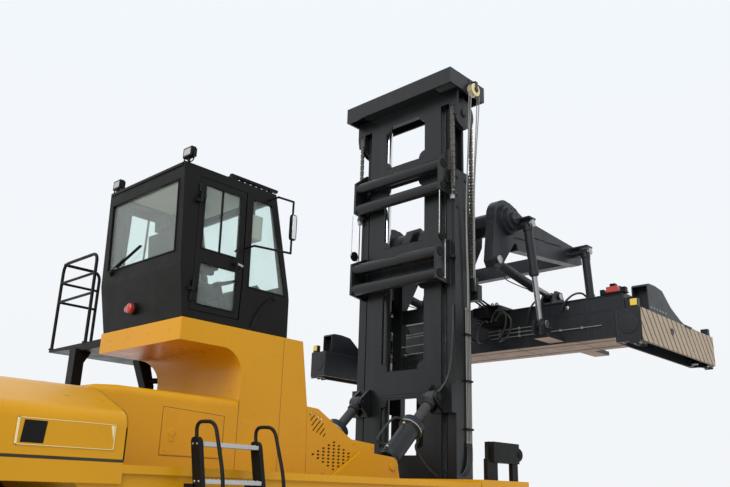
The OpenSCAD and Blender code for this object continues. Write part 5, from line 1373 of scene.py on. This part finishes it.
class TRUCK_OT_inner_mast(bpy.types.Operator):
    """Adds chain wheel hubs, crosshead bolts, welds and wear marks to the inner mast"""

    bl_idname = "truck.inner_mast"
    bl_label = "Inner mast"

    def execute(self, context):
        hubs, bolts, welds, strips = gather(4)
        y = POST_OUT + 68
        hubs.lathe((WHEEL_X, y, WHEEL_Z), Y, ((-14, 62), (4, 60), (8, 44), (14, 40)), 28)
        hubs.bolts(circle((WHEEL_X, y + 10, WHEEL_Z), X, Z, 30, 6), Y, 6, 6)
        for s in (-1, 1):
            for spot in circle((WHEEL_X, POST_OUT + s * 45, WHEEL_Z), X, Z, 130, 8):
                hubs.lathe(spot, Y * s, ((-3, 40), (1, 36), (1.5, 20)), 18)
        hubs.both_sides().done("chain_wheel_hubs", "iron", "inner_mast")
        bolts.bolts([(x, y, HEAD_Z + 250) for y in range(-950, 951, 190) for x in (470, 1080)], Z, 13, 10)
        bolts.done("crosshead_bolts", "mast", "inner_mast")
        for y in (-1040, 1040):
            welds.tube([(352, y, HEAD_Z + 6), (352, y, HEAD_Z + 240)], 6, 6, 1)
        for z in (2960, 3000, 6480, 6130, 5180, 4560, 3330, 2930, 2180):
            welds.tube([(578, -380, z - 3), (577, 0, z), (578, 380, z - 3)], 2.5, 6, 3)
        for y in (660, 760, 850):
            welds.tube([(x, y, HEAD_Z - 2) for x in (600, 760, 930)], 7, 6, 2)
        welds.done("inner_mast_welds", "mast", "inner_mast")
        # Bright running strips worn by the rollers
        strips.box(929, 934, 640, 700, 1040, 7380)
        strips.box(681, 686, 640, 700, 1040, 7380)
        strips.both_sides().done("roller_tracks", "steel", "inner_mast")
        return {"FINISHED"}


class TRUCK_OT_carriage(bpy.types.Operator):
    """Adds rollers' caps, cross pipes, hoses and bolts to the carriage"""

    bl_idname = "truck.carriage"
    bl_label = "Carriage"

    def execute(self, context):
        pipe, hose = context.scene.truck_hoses.pipe, context.scene.truck_hoses.hose
        pipes, bolts, hoses, caps = gather(4)
        for z, w in ((3640, 330), (3760, 380), (3890, 300), (3930, 300)):
            pipes.tube([(1050, -w, z), (1046, 0, z + 8), (1050, w, z)], pipe, 10, 4)
            for y in (-w, w):
                pipes.lathe((1050, y, z), Y, ((-18, pipe + 5), (18, pipe + 5), (20, pipe)), 6)
        pipes.done("carriage_pipes", "pale hose", "carriage", "steel")
        for z, y in product((2000, 2100, 3450, 3560, 4150, 4260), (150, 280, 400)):
            bolts.bolt((1150, y, z), X, 13, 10)
            bolts.bolt((1070, y, z), -X, 13, 10)
        bolts.bolts([(1140, 500, z) for z in range(4400, 5200, 170)], X, 15, 12)
        bolts.both_sides().done("carriage_bolts", "mast", "carriage")
        for z in (2080, 2900, 4120):
            caps.lathe((807.5, 606, z), -Y, ((-2, 46), (14, 44), (16, 30)), 24)
        caps.both_sides().done("roller_caps", "iron", "carriage")
        for y in (-140, -78, -16, 46):
            hoses.tube([(1100, y, 4330), (1130, y - 20, 4560), (1200, y - 60, 4720), (1340, y - 110, 4700),
                        (1520, y - 160, 4600), (1720, y - 200, 4560), (1860, y - 220, 4560)], hose)
        hoses.done("carriage_hoses", "hose", "carriage")
        return {"FINISHED"}


class TRUCK_OT_arms(bpy.types.Operator):
    """Adds bright collars, pin caps, chromed sleeves and hoses to the spreader's arms"""

    bl_idname = "truck.arms"
    bl_label = "Spreader arms"

    def execute(self, context):
        hose = context.scene.truck_hoses.hose
        caps, chrome, barrels, hoses, bolts = gather(5)
        for x_top, x_low in ((LOCK_X + 20, LOCK_X + 280), (LOCK_X + 1770, LOCK_X + 1950)):
            top, low = Vector((x_top, 1380, 5520)), Vector((x_low, 1380, 4060))
            d = (low - top).normalized()
            chrome.rod(top + d * 752, low - d * 60, 41.5, 24)
            barrels.lathe(top, d, ((700, 66), (704, 74), (760, 74), (764, 60), (778, 56), (780, 44)), 28)
            barrels.lathe(top, d, ((40, 66), (44, 76), (92, 76), (96, 66)), 28)
            barrels.lathe(low, -d, ((-62, 20), (-58, 56), (40, 62), (66, 50), (70, 42)), 24)
            for y in (1442, 1470):
                caps.lathe((x_top, y, 5520), Y, ((-16, 40), (2, 56), (14, 56), (18, 44)), 24)
            caps.lathe((x_low, 1462, 4060), Y, ((0, 44), (18, 54), (26, 54), (30, 40)), 24)
            caps.lathe((x_low, 1300, 4060), -Y, ((0, 44), (12, 52), (20, 50)), 24)
            bolts.bolts([(x_top + x, y, 5615) for x in (-60, 60) for y in (1180, 1420)], Z, 13, 10)
            hoses.tube([top + d * 120 + Vector((62, 40, 0)), top + d * 90 + Vector((110, 0, 40)),
                        (x_top + 90, 1240, 5560), (x_top + 40, 1170, 5540)], hose * 0.7)
        # Levelling cylinder: sleeve on its rod, head, collars and a thin hose below it
        a, b = Vector((LOCK_X + 600, 1080, 4742)), Vector((LOCK_X + 1180, 1080, 4680))
        chrome.rod(a, b - (b - a).normalized() * 70, 46.5, 24)
        d = Vector((1080, 0, -160)).normalized()
        barrels.lathe((LOCK_X + 620, 1080, 4740), -d, ((-10, 50), (-8, 84), (60, 84), (66, 72)), 28)
        barrels.lathe(b, d, ((-70, 52), (-56, 66), (20, 66), (44, 46)), 24)
        caps.lathe((1290, 1190, 4900), Y, ((-4, 46), (10, 60), (22, 58), (26, 40)), 24)
        caps.lathe((b.x, 1220, b.z), Y, ((-4, 40), (8, 54), (18, 52), (22, 36)), 24)
        hoses.tube([(x, 1080, z) for x, z in ((1560, 4790), (1620, 4700), (1800, 4680), (2150, 4672),
                                              (2380, 4690), (2400, 4700))], hose * 0.55)
        # Pivot: a ring of bolts on the end plate and a smaller ring on the stepped discs
        bolts.bolts(circle((1590, 1264, 5590), X, Z, 150, 10), Y, 13, 10)
        bolts.bolts(circle((1590, 1304, 5590), X, Z, 62, 5), Y, 12, 9)
        for x, z in ((1900, 5400), (2300, 5520), (2800, 5560), (3400, 5520)):
            hoses.tube([(x - 120, 1158, z - 40), (x, 1164, z - 20), (x + 330, 1160, z + 10)],
                       hose * 0.6, 8, 4)
        caps.both_sides().done("arm_pin_caps", "zinc", "carriage", "chrome", bevel=1)
        chrome.both_sides().done("arm_chrome_rods", "steel", "carriage", "chrome")
        barrels.both_sides().done("arm_cylinder_heads", "slate", "carriage", bevel=1)
        hoses.both_sides().done("arm_hoses", "hose", "carriage")
        bolts.both_sides().done("arm_bolts", "slate", "carriage")
        return {"FINISHED"}


# The hoses between the valve block's outlets and the frame's rear face
VALVE_LOOPS = (
    ((2150, -540, 4262), (2080, -600, 4270), (2040, -730, 4330), (2060, -860, 4210), (2090, -800, 4010),
     (2140, -640, 3930), (2260, -520, 3960), (2400, -470, 4060), (2470, -460, 4100)),
    ((2150, -462, 4262), (2070, -540, 4310), (2030, -660, 4380), (2040, -780, 4300), (2060, -760, 4120),
     (2120, -640, 4010), (2240, -540, 4010), (2380, -520, 4080), (2470, -560, 4120)),
    ((2150, -384, 4262), (2060, -380, 4240), (2010, -330, 4160), (2060, -250, 4020), (2180, -200, 3950),
     (2330, -190, 3990), (2470, -220, 4060)),
    ((2150, -306, 4262), (2060, -300, 4270), (1990, -240, 4250), (2000, -150, 4130), (2100, -90, 4010),
     (2280, -60, 3990), (2470, -80, 4040)),
    ((2150, -228, 4262), (2070, -160, 4260), (2030, -60, 4200), (2080, 60, 4080), (2220, 130, 4020),
     (2400, 150, 4060), (2470, 150, 4090)),
)
END_LOOPS = (((2465, 1480, 4330), (2430, 1560, 4440), (2440, 1700, 4540), (2520, 1800, 4560),
              (2640, 1850, 4480)),
             ((2465, 900, 4200), (2420, 960, 4380), (2450, 1040, 4520), (2560, 1080, 4560),
              (2700, 1100, 4476)))


class TRUCK_OT_spreader(bpy.types.Operator):
    """Fits the valve block, hose loops, lamps, tan underside and lines of the spreader's frame"""

    bl_idname = "truck.spreader"
    bl_label = "Spreader frame"

    def valves(self, hose, pipe):
        """The valve block on the frame's rear, its coils and fittings, hose loops and pipes."""
        block, valves, hoses, pipes = gather(4)
        block.box(2180, BEAM_X0 + 4, -560, -180, 4210, 4470)
        block.box(2140, 2190, -600, -140, 4470, 4490)
        block.box(1980, 2180, -470, -230, 4300, 4440)
        block.box(1975, 2480, -520, -480, 4455, 4475)
        block.done("valve_block", "coal", "carriage", "slate", bevel=4)
        for y in range(-520, -200, 78):
            valves.lathe((2210, y, 4470), Z, ((0, 26), (4, 30), (56, 30), (60, 22), (74, 20)), 16)
            valves.lathe((2180, y, 4262), -X, ((0, 20), (14, 20), (16, 14), (30, 13)), 6)
        valves.done("valve_coils", "zinc", "carriage")
        for loop in VALVE_LOOPS:
            hoses.tube(loop, hose, 8, 7)
        for k in range(3):
            hoses.tube([(1860, -280 - k * 62, 4560), (2000, -290 - k * 62, 4540), (2120, -300 - k * 64, 4500),
                        (2200, -320 - k * 66, 4476)], hose, 8, 5)
        for side, loop in product((1, -1), END_LOOPS):
            hoses.tube([(x, side * y, z) for x, y, z in loop], hose)
        hoses.done("spreader_hoses", "hose", "carriage")
        for z, end in ((4159, -1150), (4100, -1300), (4040, -2100)):
            pipes.tube([(BEAM_X0 - 16, y, z) for y in (-180, (end - 180) / 2, end)], pipe, 8, 1)
            for y in range(-400, end, -350):
                pipes.box(BEAM_X0 - 32, BEAM_X0 + 2, y - 14, y + 14, z - 18, z + 18)
        pipes.done("spreader_pipes", "pale hose", "carriage", "steel", bevel=1)

    def frame_lines(self):
        """Pins and bolts, ribs along the rear face, and the tan underside with its joint lines."""
        bolts, ribs, under, lines = gather(4)
        for y in (1575, -1575):
            bolts.lathe((BEAM_X0 - 2, y, 4361), -X, ((0, 34), (16, 32), (20, 18)), 18)
        bolts.bolts([(BEAM_X0 + 30, y, BEAM_Z1) for y in range(-2400, 2401, 240)], Z, 12, 9)
        bolts.done("frame_bolts", "zinc", "carriage")
        for step, z0, z1 in ((14, 4452, 4470), (14, 3852, 3872), (5, 4246, 4254)):
            ribs.box(BEAM_X0 - step, BEAM_X0 + 2, -2440, 2440, z0, z1)
        for y in (-2446, -1900, 1900, 2410):
            ribs.box(BEAM_X0 - 12, BEAM_X0 + 2, y, y + 34, 3852, 4470)
        ribs.done("frame_ribs", "slate", "carriage", bevel=2)
        under.box(BEAM_X0 + 4, BEAM_X1 - 4, -2444, 2444, BEAM_Z0 - 3, BEAM_Z0 + 2)
        for side, (x0, x1) in product((1, -1), ((2024, BEAM_X0 + 4), (BEAM_X1 - 4, 3866))):
            under.box(x0, x1, *span(side, 1263, 1507), BEAM_Z0 + 17, BEAM_Z0 + 22)
        under.done("tan_underside", "tan", "carriage", bevel=1)
        for x in (BEAM_X0 + 180, BEAM_X1 - 200):
            lines.box(x, x + 14, -2440, 2440, BEAM_Z0 - 7, BEAM_Z0 - 2)
        for y in (-1700, -700, 700, 1700):
            lines.box(BEAM_X0 + 10, BEAM_X1 - 10, y, y + 12, BEAM_Z0 - 6, BEAM_Z0 - 2)
        lines.done("underside_lines", "umber", "carriage")

    def beacons(self):
        """Lamps on top of each end of the frame: a base, the red lamp, its guard and its posts."""
        case, red = gather(2)
        for y in (2300, -2300):
            for x0, x1, middle, half, z0, z1 in (
                    (-30, 90, y, 190, -2, 22), (-20, 60, y, 40, 110, 150), (20, 70, y, 96, 20, 112),
                    (-26, 60, y - 160, 30, 20, 80), (-26, 60, y + 160, 30, 20, 80)):
                case.box(BEAM_X0 + x0, BEAM_X0 + x1, middle - half, middle + half, BEAM_Z1 + z0, BEAM_Z1 + z1)
            red.box(BEAM_X0 - 36, BEAM_X0 + 24, y - 92, y + 92, BEAM_Z1 + 20, BEAM_Z1 + 108)
        case.done("beacon_brackets", "coal", "carriage", bevel=4)
        red.done("beacon_lenses", "red lens", "carriage", bevel=8)

    def execute(self, context):
        self.valves(context.scene.truck_hoses.hose, context.scene.truck_hoses.pipe)
        self.frame_lines()
        self.beacons()
        return {"FINISHED"}


# The end beams: their ends in X, their locks, the gusset's top edge and the rear socket's place
END_X0, END_X1 = LOCK_X - 100, LOCK_X + 2359
LOCKS, LOCK_Y = (LOCK_X, LOCK_X + LOCK_GRID), 2926.5
GUSSET = ((1921, 4362), (1940, 4388), (1990, 4400), (2173, 4405), (2391, 4382), (2644, 4197), (2922, 4080),
          (3122, 4029))
SOCKET_Y, SOCKET_Z = 2855, 3830


class TRUCK_OT_end_beams(bpy.types.Operator):
    """Builds the end beams and adds their stripes, lamps, twistlock fittings and bolts"""

    bl_idname = "truck.end_beams"
    bl_label = "End beams"

    def shell(self, side, word):
        """The sliding tube, the hollow cross beam with its locks, and the open box gusset outside it."""
        beam, mid = Solids(), side * SOCKET_Y
        tube_x = 2894 if side > 0 else 2502
        for x0, x1, ya, yb, z0, z1 in (
                (tube_x, tube_x + 364, -2370, 2690, 3946, 4374), (END_X0, END_X1, 3015, 3030, 3600, 4030),
                (END_X0, END_X1, 2680, 2695, 3600, 4030), (END_X0, END_X1, 2694, 3016, 4015, 4030),
                (END_X1 - 20, END_X1, 2694, 3016, 3600, 4016)):
            beam.box(x0, x1, *span(side, ya, yb), z0, z1)
        # Rear wall in two halves round the socket's hole
        for half in (1, -1):
            rim = [(mid + half * 110 * math.sin(t), SOCKET_Z + 110 * math.cos(t))
                   for t in (math.pi * i / 16 for i in range(17))]
            beam.plate([*rim, (mid, 3601), (mid + half * 170, 3601), (mid + half * 170, 4016), (mid, 4016)],
                       "x", END_X0, END_X0 + 20)
        for x in LOCKS:
            beam.box(x - 85, x + 85, *span(side, 2851, 3002), 3599, 3659)
            beam.rod((x, side * LOCK_Y, 3620), (x, side * LOCK_Y, 3860), 33, 24)
            beam.lathe((x, side * LOCK_Y, 3560), Z, ((0, 4), (0.5, 22), (61, 52), (62, 4)), 24)
        for ya, yb in ((3015, 3030), (2812, 2826)):
            beam.plate([*GUSSET, (1921, 4029)], "y", *span(side, ya, yb))
        for a, b in zip(GUSSET, GUSSET[1:]):
            beam.slab((a[0], side * 2921, a[1] - 6), (b[0], side * 2921, b[1] - 6), Y, 214, 12)
        beam.box(2060, 2074, *span(side, 2826, 3015), 4029, 4392)
        body = f"end_beam_{word}"
        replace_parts(beam.done(f"end_beam_shell_{word}", "slate", body, bevel=3), body)

    def lock(self, side, x, dark, fittings):
        """A twistlock's collar, guides and bright head."""
        y = side * LOCK_Y
        dark.box(x - 96, x + 96, y - 84, y + 84, 3588, 3606)
        for s in (-1, 1):
            dark.slab((x + s * 96, y, 3600), (x + s * 128, y, 3566), Y, 120, 14)
            fittings.bolts([(x + s * 76, y + t, 3588) for t in (-60, 60)], -Z, 9, 8)
        fittings.lathe((x, y, 3588), -Z, ((-10, 44), (6, 42), (8, 32)), 20)
        fittings.rod((x - 40, y - side * 190, 3640), (x - 40, y - side * 60, 3640), 22, 14)
        dark.box(x - 70, x + 70, *span(side, LOCK_Y - 240, LOCK_Y - 180), 3606, 3700)

    def fit(self, side, word):
        x0, x1, out, mid = END_X0, END_X1, Y * side, side * SOCKET_Y
        panel, tan, fittings, dark, yellow, edges, slide = gather(7)
        panel.plate(rect(x0 + 4, x1 - 4, 3604, 4026), "y", *span(side, 3029, 3034))
        tan.box(x0 + 2, x0 + 19, *span(side, 2684, 3026), 3597, 3602)
        for ya, yb in ((3016, 3030), (2680, 2694)):
            tan.box(x0 + 30, x1 - 30, *span(side, ya, yb), 3596, 3601)
        # Round fitting amid the stripes, and the guide's edge above it
        dark.lathe((2599, side * 3034, 3859), out, ((-6, 52), (4, 50), (8, 38), (3, 30)), 28)
        edges.box(x0 + 1400, x0 + 1640, *span(side, 3030, 3050), 4014, 4034)
        # Rear socket: ring and the lock's actuator seen inside
        dark.lathe((x0 - 2, mid, SOCKET_Z), -X, ((-14, 112), (0, 130), (6, 130), (8, 112)), 36)
        fittings.lathe((x0 + 60, mid - side * 30, SOCKET_Z - 30), -X, ((-30, 44), (20, 42), (30, 24)), 20)
        for z in (3700, 3960):
            dark.lathe((x0 - 1, side * 2720, z), -X, ((0, 26), (4, 24), (2, 14)), 18)
        for x in LOCKS:
            self.lock(side, x, dark, fittings)
        # Yellow lamps on top of the rear end and the front end
        y = side * 2947
        for x, d in ((x0 + 6, -1), (x1 - 6, 1)):
            dark.box(*sorted((x, x - d * 70)), y - 52, y + 52, 4028, 4150)
            yellow.box(*sorted((x + d * 14, x - d * 4)), y - 44, y + 44, 4056, 4142)
        fittings.bolts([(x, side * 3030, 4080) for x in range(1990, 2500, 90)], out, 11, 8)
        # Hose along the sliding tube
        tube_x = 2944 if side > 0 else 2552
        slide.tube([(tube_x - 20, side * 2660, 4398), (tube_x, side * 2560, 4402),
                    (tube_x, side * 2460, 4398)], 12, 8, 4)
        for solids, name, kind, slot, bevel in (
                (panel, "striped_face", "hazard", "slate", 0), (tan, "tan_edges", "tan", None, 0),
                (edges, "guide_edges", "slate", None, 1), (dark, "end_fittings", "slate", None, 1),
                (fittings, "lock_fittings", "zinc", None, 0),
                (yellow, "yellow_lamps", "yellow lens", None, 4),
                (slide, "slide_hose", "hose", None, 0)):
            solids.done(f"{name}_{word}", kind, f"end_beam_{word}", slot, bevel)

    def execute(self, context):
        for side, word in SIDES:
            self.shell(side, word)
            self.fit(side, word)
        return {"FINISHED"}


OPERATORS = [TRUCK_OT_stage, TRUCK_OT_paint, TRUCK_OT_tyres, TRUCK_OT_wheels, TRUCK_OT_chassis, TRUCK_OT_hood,
             TRUCK_OT_body, TRUCK_OT_cab, TRUCK_OT_cab_inside, TRUCK_OT_access, TRUCK_OT_tilt_cylinders,
             TRUCK_OT_outer_mast, TRUCK_OT_chains, TRUCK_OT_inner_mast, TRUCK_OT_carriage, TRUCK_OT_arms,
             TRUCK_OT_spreader, TRUCK_OT_end_beams]
GROUPS = {"truck_paint": TruckPaint, "truck_hoses": TruckHoses, "truck_tyres": TruckTyres,
          "truck_stage": TruckStage}


class TRUCK_PT_panel(bpy.types.Panel):
    """Lists what dresses the lift truck"""

    bl_idname = "TRUCK_PT_panel"
    bl_label = "Lift truck"
    bl_space_type = "VIEW_3D"
    bl_region_type = "UI"
    bl_category = "Lift truck"

    def draw(self, context):
        for group in GROUPS:
            box = self.layout.box()
            values = getattr(context.scene, group)
            for value in values.__annotations__:
                box.prop(values, value)
        for each in OPERATORS:
            self.layout.operator(each.bl_idname)


def register():
    for each in (*GROUPS.values(), *OPERATORS, TRUCK_PT_panel):
        bpy.utils.register_class(each)
    for name, group in GROUPS.items():
        setattr(bpy.types.Scene, name, PointerProperty(type=group))


def unregister():
    for name in GROUPS:
        delattr(bpy.types.Scene, name)
    for each in reversed((*GROUPS.values(), *OPERATORS, TRUCK_PT_panel)):
        bpy.utils.unregister_class(each)


def main():
    register()
    for each in OPERATORS:
        group, name = each.bl_idname.split(".")
        getattr(getattr(bpy.ops, group), name)()


if __name__ == "__main__":
    main()
